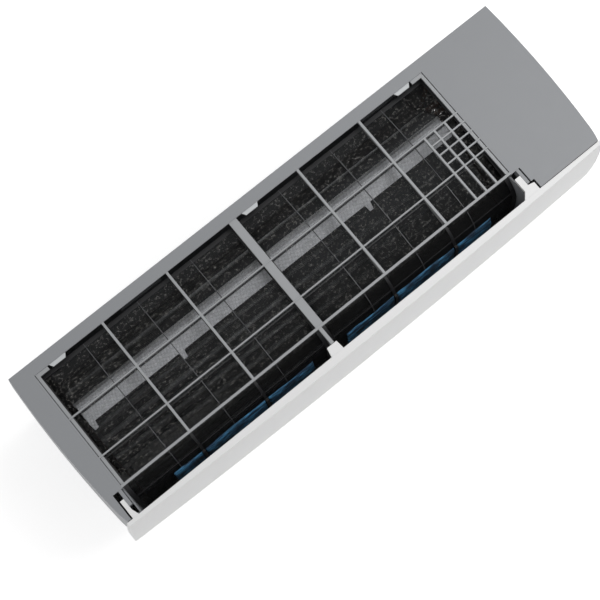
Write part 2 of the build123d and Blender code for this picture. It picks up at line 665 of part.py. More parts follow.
def intake_grille():
    """Grid over the air intake, with the middle filter rail and the panel's centre support."""
    rib_z = (TOP_Z - RIB_DEPTH, TOP_Z)
    ledge_z = (TOP_Z - RIB_DEPTH, TOP_Z - LEDGE_DROP)
    bar_y = (FRONT_BAR_Y - FRONT_BAR_WIDTH / 2, FRONT_BAR_Y + FRONT_BAR_WIDTH / 2)
    depth_y = (FRONT_BAR_Y, INTAKE_REAR_Y)
    with BuildPart() as grille:
        for x in CROSS_RIB_X:
            block((x - RIB_WIDTH / 2, x + RIB_WIDTH / 2), depth_y, rib_z)
        half = CENTRE_RIB_WIDTH / 2
        centre_z = (TOP_Z - RIB_DEPTH, TOP_Z - CENTRE_RIB_DROP)
        block((CENTRE_RIB_X - half, CENTRE_RIB_X + half), depth_y, centre_z)
        for y in LONG_RIB_Y:
            span_y = (y - LONG_RIB_WIDTH / 2, y + LONG_RIB_WIDTH / 2)
            block((INTAKE_LEFT, INTAKE_RIGHT), span_y, rib_z)
        block((INTAKE_LEFT, INTAKE_RIGHT), bar_y, rib_z)
        # ledges along the sides and in the rear corners
        for side, inward in ((INTAKE_LEFT, 1), (INTAKE_RIGHT, -1)):
            ledge_x = (side + inward * GROOVE, side + inward * LEDGE_WIDTH)
            block(ledge_x, (bar_y[0], INTAKE_REAR_Y), ledge_z)
            corner_x = (side + inward * GROOVE, side + inward * CORNER_LEDGE)
            block(corner_x, (INTAKE_REAR_Y - LEDGE_WIDTH, INTAKE_REAR_Y), ledge_z)
        # fine grid over the right end
        fine_y = (FRONT_BAR_Y, LONG_RIB_Y[0])
        for x in FINE_RIB_X:
            block((x - FINE_RIB_WIDTH / 2, x + FINE_RIB_WIDTH / 2), fine_y, rib_z)
        for count in range(1, FINE_BARS + 1):
            y = LONG_RIB_Y[0] - count * FINE_BAR_PITCH
            span_y = (y - FINE_BAR_WIDTH / 2, y + FINE_BAR_WIDTH / 2)
            block((FINE_RIB_X[0], INTAKE_RIGHT), span_y, rib_z)
        # middle filter rail
        web_low = CENTRE_WEB_X - CENTRE_WEB / 2
        rail_low = -(FILTER_THICK / 2 + FILTER_SEAT + RAIL_THICK)
        under_rib = [(y, TOP_Z - drop) for y, drop in (FILTER_REAR, FILTER_CREST, FILTER_SHOULDER)]
        under_rib += [(bar_y[0], TOP_Z - FILTER_SHOULDER[1]), (bar_y[0], TOP_Z - RIB_DEPTH)]
        under_rib += [(FILTER_REAR[0], TOP_Z - RIB_DEPTH)]
        extrude(slab_face(under_rib, web_low), amount=CENTRE_WEB)
        extrude(filter_band(web_low, rail_low, CENTRE_WEB_RISE), amount=CENTRE_WEB)
        shelf_half = CENTRE_WEB / 2 + FILTER_SIDE_GAP + RAIL_SHELF
        shelf = filter_band(CENTRE_WEB_X - shelf_half, rail_low, rail_low + RAIL_THICK)
        extrude(shelf, amount=2 * shelf_half)
        # support in front of the bar for the panel's middle arm
        support_z = (TOP_Z - ARM_TOP_DROP - SUPPORT_DEPTH, TOP_Z - ARM_TOP_DROP)
        block(SUPPORT_X, (SUPPORT_FRONT_Y, FRONT_BAR_Y), support_z)
    write(grille, "intake_grille")


def filter_catches():
    """Small tapered tabs on the intake's rear edge that hold the filters down."""
    with BuildPart() as catches:
        for x in CATCH_X:
            tip_y = INTAKE_REAR_Y - CATCH_REACH
            with BuildSketch(Plane.XY.offset(TOP_Z - LEDGE_DROP - CATCH_THICK)):
                with BuildLine():
                    Polyline(
                        (x - CATCH_BASE / 2, INTAKE_REAR_Y),
                        (x - CATCH_TIP / 2, tip_y),
                        (x + CATCH_TIP / 2, tip_y),
                        (x + CATCH_BASE / 2, INTAKE_REAR_Y),
                        close=True,
                    )
                make_face()
            extrude(amount=CATCH_THICK)
    write(catches, "filter_catches")


def hinge_seats():
    """Brackets beside the outer arms, each with the hole that its arm's pin turns in."""
    seats = (
        (LEFT_ARM_X[1] + SIDE_GAP, LEFT_ARM_X[1] + SIDE_GAP + SEAT_WIDTH),
        (RIGHT_ARM_X[1] + SIDE_GAP, RIGHT_ARM_X[1] + SIDE_GAP + SEAT_WIDTH),
    )
    with BuildPart() as pair:
        for seat_x in seats:
            seat_z = (TOP_Z - NOTCH_DEPTH + SIDE_GAP, TOP_Z - ARM_TOP_DROP)
            block(seat_x, (SEAT_FRONT_Y, NOTCH_REAR_Y), seat_z)
            with BuildSketch(across(seat_x[0] - 1, HINGE)):
                Circle(HINGE_PIN_R + RUNNING_GAP)
            extrude(amount=SEAT_WIDTH + 2, mode=Mode.SUBTRACT)
    write(pair, "hinge_seats")


def panel_form(inset):
    """Solid of the front panel's outside, or of the hollow behind its wall."""
    top_drop = PANEL_TOP_THICK if inset else 0.0
    drops = (top_drop, PANEL_MID_SHARE * PANEL_DROP, PANEL_DROP - inset)
    rear_y = PANEL_REAR_Y + 4 * inset
    levels = zip(drops, PANEL_HALVES, PANEL_END_DEPTHS, PANEL_MID_DEPTHS)
    with BuildPart() as form:
        for drop, outer_half, end_depth, mid_depth in levels:
            half = outer_half - inset
            end_y = FRONT_PLANE_Y - end_depth + inset
            mid_y = FRONT_PLANE_Y - mid_depth + inset
            with BuildSketch(Plane.XY.offset(TOP_Z - drop)):
                with BuildLine():
                    Polyline((half, end_y), (half, rear_y), (-half, rear_y), (-half, end_y))
                    ThreePointArc((-half, end_y), (0, mid_y), (half, end_y))
                make_face()
        loft()
        lowest = form.edges().group_by(Axis.Z)[0].sort_by(Axis.X)
        fillet((lowest[0], lowest[-1]), radius=PANEL_CORNER_R - inset)
    return form.part


def front_panel():
    """White panel with its two hinge arms, their pins and the middle arm."""
    outside, inside = panel_form(0), panel_form(WALL)
    arm_low = TOP_Z - ARM_TOP_DROP - ARM_DEPTH
    root_y = PANEL_REAR_Y - WALL
    left, right, centre = LEFT_ARM_X, RIGHT_ARM_X, CENTRE_ARM_X
    foot_left, foot_right = right[0] - RIGHT_ARM_FOOT[0], right[1] + RIGHT_ARM_FOOT[1]
    left_widens, step_starts, step_ends = (SEAT_FRONT_Y - drop for drop in RIGHT_ARM_WIDENS)
    outlines = (
        (
            (left[0], LEFT_ARM_REAR_Y), (left[1], LEFT_ARM_REAR_Y),
            (left[1], SEAT_FRONT_Y - LEFT_ARM_WIDENS), (left[1] + SEAT_WIDTH, root_y),
            (left[0], root_y),
        ),
        (
            (right[0], RIGHT_ARM_REAR_Y), (right[1], RIGHT_ARM_REAR_Y), (right[1], step_starts),
            (foot_right, step_ends), (foot_right, root_y), (foot_left, root_y),
            (right[0], left_widens),
        ),
        (
            (centre[0], CENTRE_ARM_REAR_Y), (centre[1], CENTRE_ARM_REAR_Y),
            (centre[1] + CENTRE_ARM_FOOT[1], root_y), (centre[0] - CENTRE_ARM_FOOT[0], root_y),
        ),
    )
    with BuildPart() as panel:
        add(outside)
        add(inside, mode=Mode.SUBTRACT)
        for outline in outlines:
            with BuildSketch(Plane.XY.offset(arm_low)):
                with BuildLine():
                    Polyline(*outline, close=True)
                make_face()
            extrude(amount=ARM_DEPTH)
        for arm_x in (left[1], right[1]):
            with BuildSketch(across(arm_x - 1, HINGE)):
                Circle(HINGE_PIN_R)
            extrude(amount=SEAT_WIDTH + 1)
    write(panel, "front_panel")


# ================================================================ filters
def filter_frame(side):
    """Black frame of one filter: edges, two thick ribs, three thin ones and the bars across."""
    centre = FILTER_CENTRES[side]
    half = FILTER_WIDTH / 2
    low, high = -FILTER_THICK / 2, FILTER_THICK / 2
    lengthwise = [
        (-half + FILTER_EDGE / 2, FILTER_EDGE),
        (half - FILTER_EDGE / 2, FILTER_EDGE),
        (-FILTER_MAIN_RIB_OFFSET, FILTER_MAIN_RIB),
        (FILTER_MAIN_RIB_OFFSET, FILTER_MAIN_RIB),
        (-FILTER_THIN_RIB_OFFSET, FILTER_THIN_RIB),
        (0.0, FILTER_THIN_RIB),
        (FILTER_THIN_RIB_OFFSET, FILTER_THIN_RIB),
    ]
    length = filter_curve().length
    edge_share = FILTER_EDGE / length
    bar_share = FILTER_THIN_RIB / length
    starts = [(0.0, edge_share), (1.0 - edge_share, 1.0)]
    for count in range(1, FILTER_LONG_RIBS + 1):
        start = count / (FILTER_LONG_RIBS + 1)
        starts.append((start, start + bar_share))
    with BuildPart() as frame:
        for offset_x, width in lengthwise:
            face = filter_band(centre + offset_x - width / 2, low, high)
            extrude(face, amount=width)
        for shares in starts:
            extrude(filter_band(centre - half, low, high, shares), amount=FILTER_WIDTH)
        # the thick ribs stand up over the blue strip
        for offset_x in (-FILTER_MAIN_RIB_OFFSET, FILTER_MAIN_RIB_OFFSET):
            x = centre + offset_x - FILTER_MAIN_RIB / 2
            extrude(filter_band(x, high, high + STRIP_THICK, STRIP_SHARES), amount=FILTER_MAIN_RIB)
    write(frame, f"filter_frame_{side}")


def filter_mesh(side):
    """Mesh under one filter's frame: a plain square grid that stands for the woven threads."""
    half = FILTER_WIDTH / 2 - FILTER_EDGE + MESH_LAP
    first_x = FILTER_CENTRES[side] - half
    step_x = (2 * half - MESH_BAR) / MESH_OPENINGS
    line = filter_curve(-(FILTER_THICK + MESH_THICK) / 2 - MESH_GAP)
    bar_share = MESH_BAR / line.length
    step = (1 - bar_share) / MESH_OPENINGS
    counts = range(MESH_OPENINGS + 1)
    with BuildPart() as mesh:
        with BuildSketch(*(Plane.YZ.offset(first_x + count * step_x) for count in counts)):
            trace(line, line_width=MESH_THICK)
        extrude(amount=MESH_BAR)
        with BuildSketch(Plane.YZ.offset(first_x)):
            for count in counts:
                start = count * step
                trace(line.trim(start, start + bar_share), line_width=MESH_THICK)
        extrude(amount=2 * half)
    write(mesh, f"filter_mesh_{side}")


def purifying_strip(side):
    """Blue strip on one filter's bend, in three lengths between the thick ribs."""
    centre = FILTER_CENTRES[side]
    middle_x = centre + STRIP_SHIFT[side]
    low_x, high_x = middle_x - STRIP_LENGTH / 2, middle_x + STRIP_LENGTH / 2
    gap = FILTER_MAIN_RIB / 2 + FIT / 4
    cuts = [centre - FILTER_MAIN_RIB_OFFSET, centre + FILTER_MAIN_RIB_OFFSET]
    spans = (
        (low_x, cuts[0] - gap),
        (cuts[0] + gap, cuts[1] - gap),
        (cuts[1] + gap, high_x),
    )
    low = FILTER_THICK / 2 + MESH_GAP
    with BuildPart() as strip:
        for start, end in spans:
            face = filter_band(start, low, low + STRIP_THICK - MESH_GAP, STRIP_SHARES)
            extrude(face, amount=end - start)
    write(strip, f"purifying_strip_{side}")


# ================================================================ chassis and air duct
def duct_wall_outline():
    """Outline of the duct's end walls, clear of the coil above and the drain pan in front."""
    ceiling = heading(TONGUE, PAN_NOSE)
    below_coil = COIL_THICK / 2 + END_PLATE_RIM + DUCT_TO_COIL
    channel_y = -CHANNEL_DEPTH - CHASSIS_WALL / 2
    channel_z = CHANNEL_TOP_Z + CHASSIS_WALL / 2
    return (
        (-CHASSIS_WALL / 2, TROUGH_Z - 2 * TROUGH_WALL),
        (TROUGH_FRONT_Y - TROUGH_WALL, TROUGH_Z - TROUGH_WALL),
        slab_point("coil_rear", 0.6, below_coil),
        slab_point("coil_rear", 0.45, below_coil),
        slab_point("coil_front_upper", 0.4, below_coil),
        slab_point("coil_front_upper", 0.95, below_coil),
        (PAN_REAR[0] + FIT, PAN_REAR[1] + FIT),
        (TONGUE[0] - TONGUE_RISE[0] + 2 * FIT, TONGUE[1] + TONGUE_RISE[1] + FIT),
        (TONGUE[0] + FIT, TONGUE[1] + FIT),
        away(TONGUE, ceiling + 90.0, FIT),
        away(PAN_NOSE, ceiling + 90.0, FIT),
        away(PAN_NOSE, ceiling + 90.0, DUCT_WALL),
        away(OUTLET_TOP, OUTLET_HEADING, DUCT_MOUTH),
        away(OUTLET_BOTTOM, OUTLET_HEADING + 180.0, DUCT_MOUTH),
        away(GUIDE_END, FLOOR_UP, -DUCT_WALL),
        away(GUIDE_TURN_POINT, FLOOR_UP, -DUCT_WALL),
        (channel_y, channel_z - DUCT_FOOT),
        (channel_y, channel_z),
        (-CHASSIS_WALL / 2, channel_z),
    )


def rear_chassis():
    """Moulding that hangs on the wall and carries the coil, the fan, its motor and the duct."""
    back_form = case_form(WALL + FIT)
    left_wall = (OUTLET_LEFT - DUCT_WALL, OUTLET_LEFT)
    right_wall = (OUTLET_RIGHT, OUTLET_RIGHT + DUCT_WALL)
    cradles = (
        (MOTOR_X[0] - MOTOR_RING, MOTOR_X[0] - FIT),
        (MOTOR_X[1] + FIT, MOTOR_X[1] + MOTOR_RING),
    )
    wide = BELLY_HALVES[1] * 2
    with BuildPart() as chassis:
        add(back_form)
        block(
            (-wide, wide),
            (-CHASSIS_WALL, 0.0),
            (CHANNEL_TOP_Z, TOP_Z),
            Mode.INTERSECT,
        )
        # pockets that hook over the wall plate
        for x in (-HOOK_X, HOOK_X):
            half = HOOK_WIDTH / 2
            block(
                (x - half - CHASSIS_WALL, x + half + CHASSIS_WALL),
                (-HOOK_DEPTH - CHASSIS_WALL, 0.0),
                (HOOK_Z - CHASSIS_WALL, HOOK_Z + HOOK_HEIGHT + CHASSIS_WALL),
            )
            block(
                (x - half, x + half),
                (-HOOK_DEPTH, 1.0),
                (HOOK_Z, HOOK_Z + HOOK_HEIGHT),
                Mode.SUBTRACT,
            )
        # pipe channel along the lower rear
        channel = (
            (-CHASSIS_WALL, CHANNEL_TOP_Z),
            (-CHANNEL_DEPTH, CHANNEL_TOP_Z),
            (-CHANNEL_DEPTH, BOTTOM_Z + WALL + FIT),
            (-CHANNEL_DEPTH - CHASSIS_WALL, BOTTOM_Z + WALL + FIT),
            (-CHANNEL_DEPTH - CHASSIS_WALL, CHANNEL_TOP_Z + CHASSIS_WALL),
            (-CHASSIS_WALL, CHANNEL_TOP_Z + CHASSIS_WALL),
        )
        extrude(slab_face(channel, -CHANNEL_HALF), amount=2 * CHANNEL_HALF)
        # rear drip trough
        trough = (
            (-CHASSIS_WALL, TROUGH_Z),
            (TROUGH_FRONT_Y + TROUGH_WALL, TROUGH_Z),
            (TROUGH_FRONT_Y + TROUGH_WALL, TROUGH_Z + TROUGH_LIP),
            (TROUGH_FRONT_Y, TROUGH_Z + TROUGH_LIP),
            (TROUGH_FRONT_Y, TROUGH_Z - TROUGH_WALL),
            (-CHASSIS_WALL, TROUGH_Z - TROUGH_WALL),
        )
        extrude(slab_face(trough, TROUGH_X[0]), amount=TROUGH_X[1] - TROUGH_X[0])
        # air guide round the back of the fan and out to the outlet
        with BuildSketch(Plane.YZ.offset(left_wall[0])):
            with BuildLine() as guide:
                Line(GUIDE_END, GUIDE_TURN_POINT)
                back = TangentArc(
                    GUIDE_TURN_POINT,
                    GUIDE_START_POINT,
                    tangent=away((0.0, 0.0), FLOW + 180.0, 1.0),
                )
                Line(back @ 1, (TROUGH_FRONT_Y + TROUGH_WALL / 2, TROUGH_Z - TROUGH_WALL / 2))
            trace(guide.edges(), line_width=DUCT_WALL)
        extrude(amount=right_wall[1] - left_wall[0])
        for wall_x in (left_wall, right_wall):
            extrude(slab_face(duct_wall_outline(), wall_x[0]), amount=DUCT_WALL)
        # cradles for the motor's rubber rings
        for cradle_x in cradles:
            outline = (
                (FAN[0] - CRADLE_HALF, FAN[1]),
                (FAN[0] - CRADLE_HALF, FAN[1] - CRADLE_HALF),
                (-CHANNEL_DEPTH - CHASSIS_WALL, CHANNEL_TOP_Z + CHASSIS_WALL / 2),
                (-CHASSIS_WALL / 2, CHANNEL_TOP_Z + CHASSIS_WALL / 2),
                (-CHASSIS_WALL / 2, FAN[1]),
            )
            extrude(slab_face(outline, cradle_x[0]), amount=cradle_x[1] - cradle_x[0])
            with BuildSketch(across(cradle_x[0], FAN)):
                Circle(MOTOR_RING_R + FIT / 4)
            extrude(amount=cradle_x[1] - cradle_x[0], mode=Mode.SUBTRACT)
        # bosses for the case screws
        boss_top = GUIDE_END[1] + (CASE_SCREW_Y - GUIDE_END[0]) * math.tan(math.radians(FLOW))
        with BuildSketch(Plane.XY.offset(BOTTOM_Z + WALL + FIT)):
            with Locations(*((x, CASE_SCREW_Y) for x in CASE_SCREW_X)):
                Circle(BOSS_R)
        extrude(amount=boss_top - BOTTOM_Z - WALL - FIT)
        with BuildSketch(Plane.XY.offset(BOTTOM_Z + WALL)):
            with Locations(*((x, CASE_SCREW_Y) for x in CASE_SCREW_X)):
                Circle(SCREW_R + SHAFT_FIT)
        extrude(amount=SCREW_HOLE, mode=Mode.SUBTRACT)
        # holes: fan bearing, motor hub, louver pins, vane pivots
        for wall_x, radius in ((left_wall, HOLDER_R + SHAFT_FIT), (right_wall, HUB_R + HUB_PLAY)):
            with BuildSketch(across(wall_x[0] - 1, FAN)):
                Circle(radius)
            extrude(amount=DUCT_WALL + 2, mode=Mode.SUBTRACT)
            with BuildSketch(across(wall_x[0] - 1, LOUVER_PIVOT)):
                Circle(LOUVER_PIN_R + RUNNING_GAP)
            extrude(amount=DUCT_WALL + 2, mode=Mode.SUBTRACT)
        for centre in VANE_GROUPS.values():
            with BuildSketch(vane_base(centre, -2 * DUCT_WALL)):
                with GridLocations(VANE_PITCH, 1, VANE_COUNT, 1):
                    Circle(VANE_PIN_R + RUNNING_GAP)
            extrude(amount=3 * DUCT_WALL, mode=Mode.SUBTRACT)
        # pipes pass down into the channel, and the drain opens into it
        with BuildSketch(Plane.XY.offset(CHANNEL_TOP_Z - 1)):
            with Locations((LIQUID_X[0], LIQUID_ROUTE[1])):
                Circle(LIQUID_R + PIPE_PASS)
            with Locations((GAS_X[0], GAS_ROUTE[1])):
                Circle(GAS_R + PIPE_PASS)
            with Locations((SPIGOT_X, SPIGOT_Y)):
                Circle(SPIGOT_BORE)
        extrude(amount=CHASSIS_WALL + 2, mode=Mode.SUBTRACT)
    write(chassis, "rear_chassis")


def vane_base(x, lift):
    """Plane parallel to the duct's floor at a lift above it, with its origin on a pivot line."""
    rise = math.radians(FLOOR_UP)
    point = away(VANE_FLOOR, FLOOR_UP, lift)
    return Plane(
        origin=(x, point[0], point[1]),
        x_dir=(1, 0, 0),
        z_dir=(0, math.cos(rise), math.sin(rise)),
    )


def drain_pan():
    """Front drip tray with the fan's stabiliser along its rear edge and the duct's ceiling."""
    tray = (
        TONGUE,
        (TONGUE[0] - TONGUE_RISE[0], TONGUE[1] + TONGUE_RISE[1]),
        PAN_REAR,
        PAN_SILL,
        (PAN_SILL[0] - PAN_WALL, PAN_RIM_Z),
        (PAN_FRONT_Y, PAN_RIM_Z),
        (PAN_FRONT_Y, PAN_FLOOR_Z[1] - 2 * PAN_WALL),
        PAN_NOSE,
    )
    hollow = (
        (PAN_SILL[0] - 2 * PAN_WALL, PAN_RIM_Z + 1),
        (PAN_SILL[0] - 2 * PAN_WALL, PAN_FLOOR_Z[0]),
        (PAN_FRONT_Y + PAN_WALL, PAN_FLOOR_Z[1]),
        (PAN_FRONT_Y + PAN_WALL, PAN_RIM_Z + 1),
    )
    with BuildPart() as pan:
        extrude(slab_face(tray, PAN_X[0]), amount=PAN_X[1] - PAN_X[0])
        inner = slab_face(hollow, PAN_X[0] + PAN_WALL)
        extrude(inner, amount=PAN_X[1] - PAN_X[0] - 2 * PAN_WALL, mode=Mode.SUBTRACT)
    write(pan, "drain_pan")


def drain_spigot():
    """Hose spigot in the roof of the pipe channel."""
    with BuildPart() as spigot:
        with BuildSketch(Plane.XY.offset(CHANNEL_TOP_Z)):
            with Locations((SPIGOT_X, SPIGOT_Y)):
                Circle(SPIGOT_FLANGE_R)
        extrude(amount=-SPIGOT_FLANGE)
        with BuildSketch(Plane.XY.offset(CHANNEL_TOP_Z)):
            with Locations((SPIGOT_X, SPIGOT_Y)):
                Circle(SPIGOT_R)
        extrude(amount=-SPIGOT_FLANGE - SPIGOT_LENGTH)
        with BuildSketch(Plane.XY.offset(CHANNEL_TOP_Z)):
            with Locations((SPIGOT_X, SPIGOT_Y)):
                Circle(SPIGOT_BORE)
        extrude(amount=-SPIGOT_FLANGE - SPIGOT_LENGTH, mode=Mode.SUBTRACT)
    write(spigot, "drain_spigot")


def case_screws():
    """Three screws up through the case's bottom into the chassis."""
    with BuildPart() as screws:
        with BuildSketch(Plane.XY.offset(BOTTOM_Z - SCREW_HEAD)):
            with Locations(*((x, CASE_SCREW_Y) for x in CASE_SCREW_X)):
                Circle(SCREW_HEAD_R)
        extrude(amount=SCREW_HEAD)
        with BuildSketch(Plane.XY.offset(BOTTOM_Z)):
            with Locations(*((x, CASE_SCREW_Y) for x in CASE_SCREW_X)):
                Circle(SCREW_R)
        extrude(amount=WALL + SCREW_LENGTH)
    write(screws, "case_screws")


# ================================================================ coil
def coil_slab(name, ends):
    """One flat stack of fins, cut square at its two ends."""
    centre = middle(*ends)
    with BuildPart() as slab:
        with BuildSketch(across(COIL_LEFT, centre, heading(*ends))):
            Rectangle(math.dist(*ends), COIL_THICK)
        extrude(amount=COIL_RIGHT - COIL_LEFT)
    write(slab, name)


def coil_end_plates():
    """Sheet-metal plates on both ends of the slabs."""
    with BuildPart() as plates:
        for x in (COIL_LEFT - END_PLATE, COIL_RIGHT):
            for ends in COIL_SLABS.values():
                with BuildSketch(across(x, middle(*ends), heading(*ends))):
                    Rectangle(math.dist(*ends) + 2 * END_PLATE_RIM, COIL_THICK + 2 * END_PLATE_RIM)
                extrude(amount=END_PLATE)
    write(plates, "coil_end_plates")


def coil_bends():
    """Copper return bends beyond the left end plate."""
    with BuildPart() as bends:
        for ends in COIL_SLABS.values():
            along = heading(*ends)
            for count in range(LEFT_BENDS):
                share = (count + 0.5) / LEFT_BENDS
                centre = away(ends[0], along, share * math.dist(*ends))
                base = across(COIL_LEFT - END_PLATE, centre, along)
                with BuildSketch(base):
                    with Locations((TUBE_PITCH / 2, 0)):
                        RegularPolygon(radius=TUBE_R, side_count=PIPE_SIDES)
                revolve(axis=Axis(base.origin, base.y_dir), revolution_arc=180)
    write(bends, "coil_bends")


def coil_ridge_plate():
    """Light sheet that closes the gap between the slabs at their top, with small tabs."""
    slope = heading(*RIDGE_POINTS[-2:])
    turn = math.radians(slope)
    with BuildPart() as plate:
        with BuildSketch(Plane.YZ.offset(RIDGE_X[0])):
            with BuildLine() as line:
                Polyline(*RIDGE_POINTS)
            trace(line.edges(), line_width=RIDGE_THICK)
        extrude(amount=RIDGE_X[1] - RIDGE_X[0])
        for x in RIDGE_TAB_X:
            base = Plane(
                origin=(x, *RIDGE_POINTS[-1]),
                x_dir=(0, math.cos(turn), math.sin(turn)),
                z_dir=(0, math.sin(turn), -math.cos(turn)),
            )
            wide, narrow = RIDGE_TAB_WIDTHS
            with BuildSketch(base):
                with BuildLine():
                    Polyline(
                        (-RIDGE_TAB_ROOT, -wide / 2), (RIDGE_TAB_LENGTH, -narrow / 2),
                        (RIDGE_TAB_LENGTH, narrow / 2), (-RIDGE_TAB_ROOT, wide / 2), close=True,
                    )
                make_face()
            extrude(amount=RIDGE_THICK / 2, both=True)
    write(plate, "coil_ridge_plate")


def nut_shoulder(radius):
    """Height at which a pipe's turned-down end meets the shoulder of its nut."""
    return CHANNEL_TOP_Z - PIPE_DROP - radius * PIPE_BEND - NUT_DROP - NUT_COLLAR


def refrigerant_pipe(name, radius, route, x_ends):
    """Copper pipe from the coil's right end, down at the back, along the channel and down."""
    start, bend, low_z = pipe_route(route)
    down_x, end_x = x_ends
    start_x = COIL_RIGHT + END_PLATE + FIT
    points = (
        (start_x, *start),
        (down_x, *start),
        (down_x, *bend),
        (down_x, bend[0], low_z),
        (end_x, bend[0], low_z),
        (end_x, bend[0], nut_shoulder(radius)),
    )
    with BuildPart() as pipe:
        with BuildLine() as line:
            FilletPolyline(*points, radius=radius * PIPE_BEND)
        with BuildSketch(Plane(origin=points[0], z_dir=(1, 0, 0))):
            RegularPolygon(radius=radius, side_count=PIPE_SIDES)
        sweep(path=line.wires()[0])
    write(pipe, name)


def flare_nuts():
    """Brass nuts on the free ends of the two pipes, open downwards."""
    with BuildPart() as nuts:
        for radius, route, x_ends, sizes in (
            (LIQUID_R, LIQUID_ROUTE, LIQUID_X, LIQUID_NUT),
            (GAS_R, GAS_ROUTE, GAS_X, GAS_NUT),
        ):
            flat, thread_r, thread_length = sizes
            shoulder = nut_shoulder(radius)
            axis_point = (x_ends[1], route[1])
            with BuildSketch(Plane.XY.offset(shoulder - thread_length)):
                with Locations(axis_point):
                    RegularPolygon(radius=flat, side_count=6, major_radius=False)
            extrude(amount=thread_length + NUT_COLLAR)
            with BuildSketch(Plane.XY.offset(shoulder - thread_length)):
                with Locations(axis_point):
                    Circle(thread_r)
            extrude(amount=thread_length, mode=Mode.SUBTRACT)
            with BuildSketch(Plane.XY.offset(shoulder)):
                with Locations(axis_point):
                    Circle(radius + FIT / 4)
            extrude(amount=NUT_COLLAR, mode=Mode.SUBTRACT)
    write(nuts, "flare_nuts")


# ================================================================ fan
def blade_outline():
    """One curved blade: two arcs from the outer edge in to the trailing inner edge."""
    outer = FAN_R
    inner = FAN_R - BLADE_DEPTH
    half = math.degrees(BLADE_THICK / 2 / FAN_R)
    with BuildSketch() as blade:
        with BuildLine():
            front_out = away((0, 0), half, outer)
            front_in = away((0, 0), BLADE_SWEEP + half, inner)
            back_out = away((0, 0), -half, outer)
            back_in = away((0, 0), BLADE_SWEEP - half, inner)
            lean = heading(front_out, front_in) - 90.0
            front_mid = away(middle(front_out, front_in), lean, BLADE_BOW)
            back_mid = away(middle(back_out, back_in), lean, BLADE_BOW)
            ThreePointArc(front_out, front_mid, front_in)
            Line(front_in, back_in)
            ThreePointArc(back_in, back_mid, back_out)
            Line(back_out, front_out)
        make_face()
    return blade.sketch


def cross_flow_fan():
    """Long fan wheel: curved blades between rings, a closed disc and a hub at each end."""
    blade = blade_outline()
    length = FAN_RIGHT - FAN_LEFT
    pitch = (length - RING_THICK) / FAN_SEGMENTS
    ring_out = FAN_R + RING_LIP
    ring_in = FAN_R - BLADE_DEPTH - RING_LIP
    with BuildPart() as fan:
        with BuildSketch(across(FAN_LEFT, FAN)):
            with PolarLocations(0, FAN_BLADES):
                add(blade)
        extrude(amount=length)
        for count in range(FAN_SEGMENTS + 1):
            closed = count in (0, FAN_SEGMENTS)
            with BuildSketch(across(FAN_LEFT + count * pitch, FAN)):
                Circle(ring_out)
                if not closed:
                    Circle(ring_in, mode=Mode.SUBTRACT)
            extrude(amount=RING_THICK)
        for hub_x in (FAN_LEFT, FAN_RIGHT - HUB_LENGTH):
            with BuildSketch(across(hub_x, FAN)):
                Circle(HUB_R)
            extrude(amount=HUB_LENGTH)
            with BuildSketch(across(hub_x - 1, FAN)):
                Circle(SHAFT_R + SHAFT_FIT)
            extrude(amount=HUB_LENGTH + 2, mode=Mode.SUBTRACT)
        with BuildSketch(Plane.XY.offset(FAN[1])):
            with Locations((FAN_RIGHT - HUB_LENGTH / 2, FAN[0])):
                Circle(HUB_SCREW_R + SHAFT_FIT)
        extrude(amount=HUB_R + 1, mode=Mode.SUBTRACT)
    write(fan, "cross_flow_fan")


def fan_journal():
    """Steel pin at the fan's left end, which turns in the bearing."""
    start = OUTLET_LEFT - BEARING_LENGTH
    with BuildPart() as journal:
        with BuildSketch(across(start, FAN)):
            Circle(SHAFT_R)
        extrude(amount=FAN_LEFT + HUB_LENGTH - start)
    write(journal, "fan_journal")


def bearing_bush():
    """Sintered bush round the journal."""
    with BuildPart() as bush:
        with BuildSketch(across(OUTLET_LEFT - BEARING_STAND, FAN)):
            Circle(BEARING_R)
            Circle(SHAFT_R + RUNNING_GAP, mode=Mode.SUBTRACT)
        extrude(amount=BEARING_LENGTH)
    write(bush, "bearing_bush")


def bearing_holder():
    """Rubber ring that holds the bush in the duct's left wall."""
    with BuildPart() as holder:
        with BuildSketch(across(OUTLET_LEFT - BEARING_STAND, FAN)):
            Circle(HOLDER_R)
            Circle(BEARING_R + SHAFT_FIT, mode=Mode.SUBTRACT)
        extrude(amount=BEARING_LENGTH)
    write(holder, "bearing_holder")


def motor_shaft():
    """Shaft from the motor into the fan's right hub."""
    start = FAN_RIGHT - HUB_LENGTH
    with BuildPart() as shaft:
        with BuildSketch(across(start, FAN)):
            Circle(SHAFT_R)
        extrude(amount=MOTOR_SHAFT_END_X - start)
    write(shaft, "motor_shaft")


def hub_screw():
    """Grub screw through the hub onto the shaft."""
    with BuildPart() as screw:
        with BuildSketch(Plane.XY.offset(FAN[1] + SHAFT_R + SHAFT_FIT)):
            with Locations((FAN_RIGHT - HUB_LENGTH / 2, FAN[0])):
                Circle(HUB_SCREW_R)
        extrude(amount=HUB_R - SHAFT_R)
    write(screw, "hub_screw")


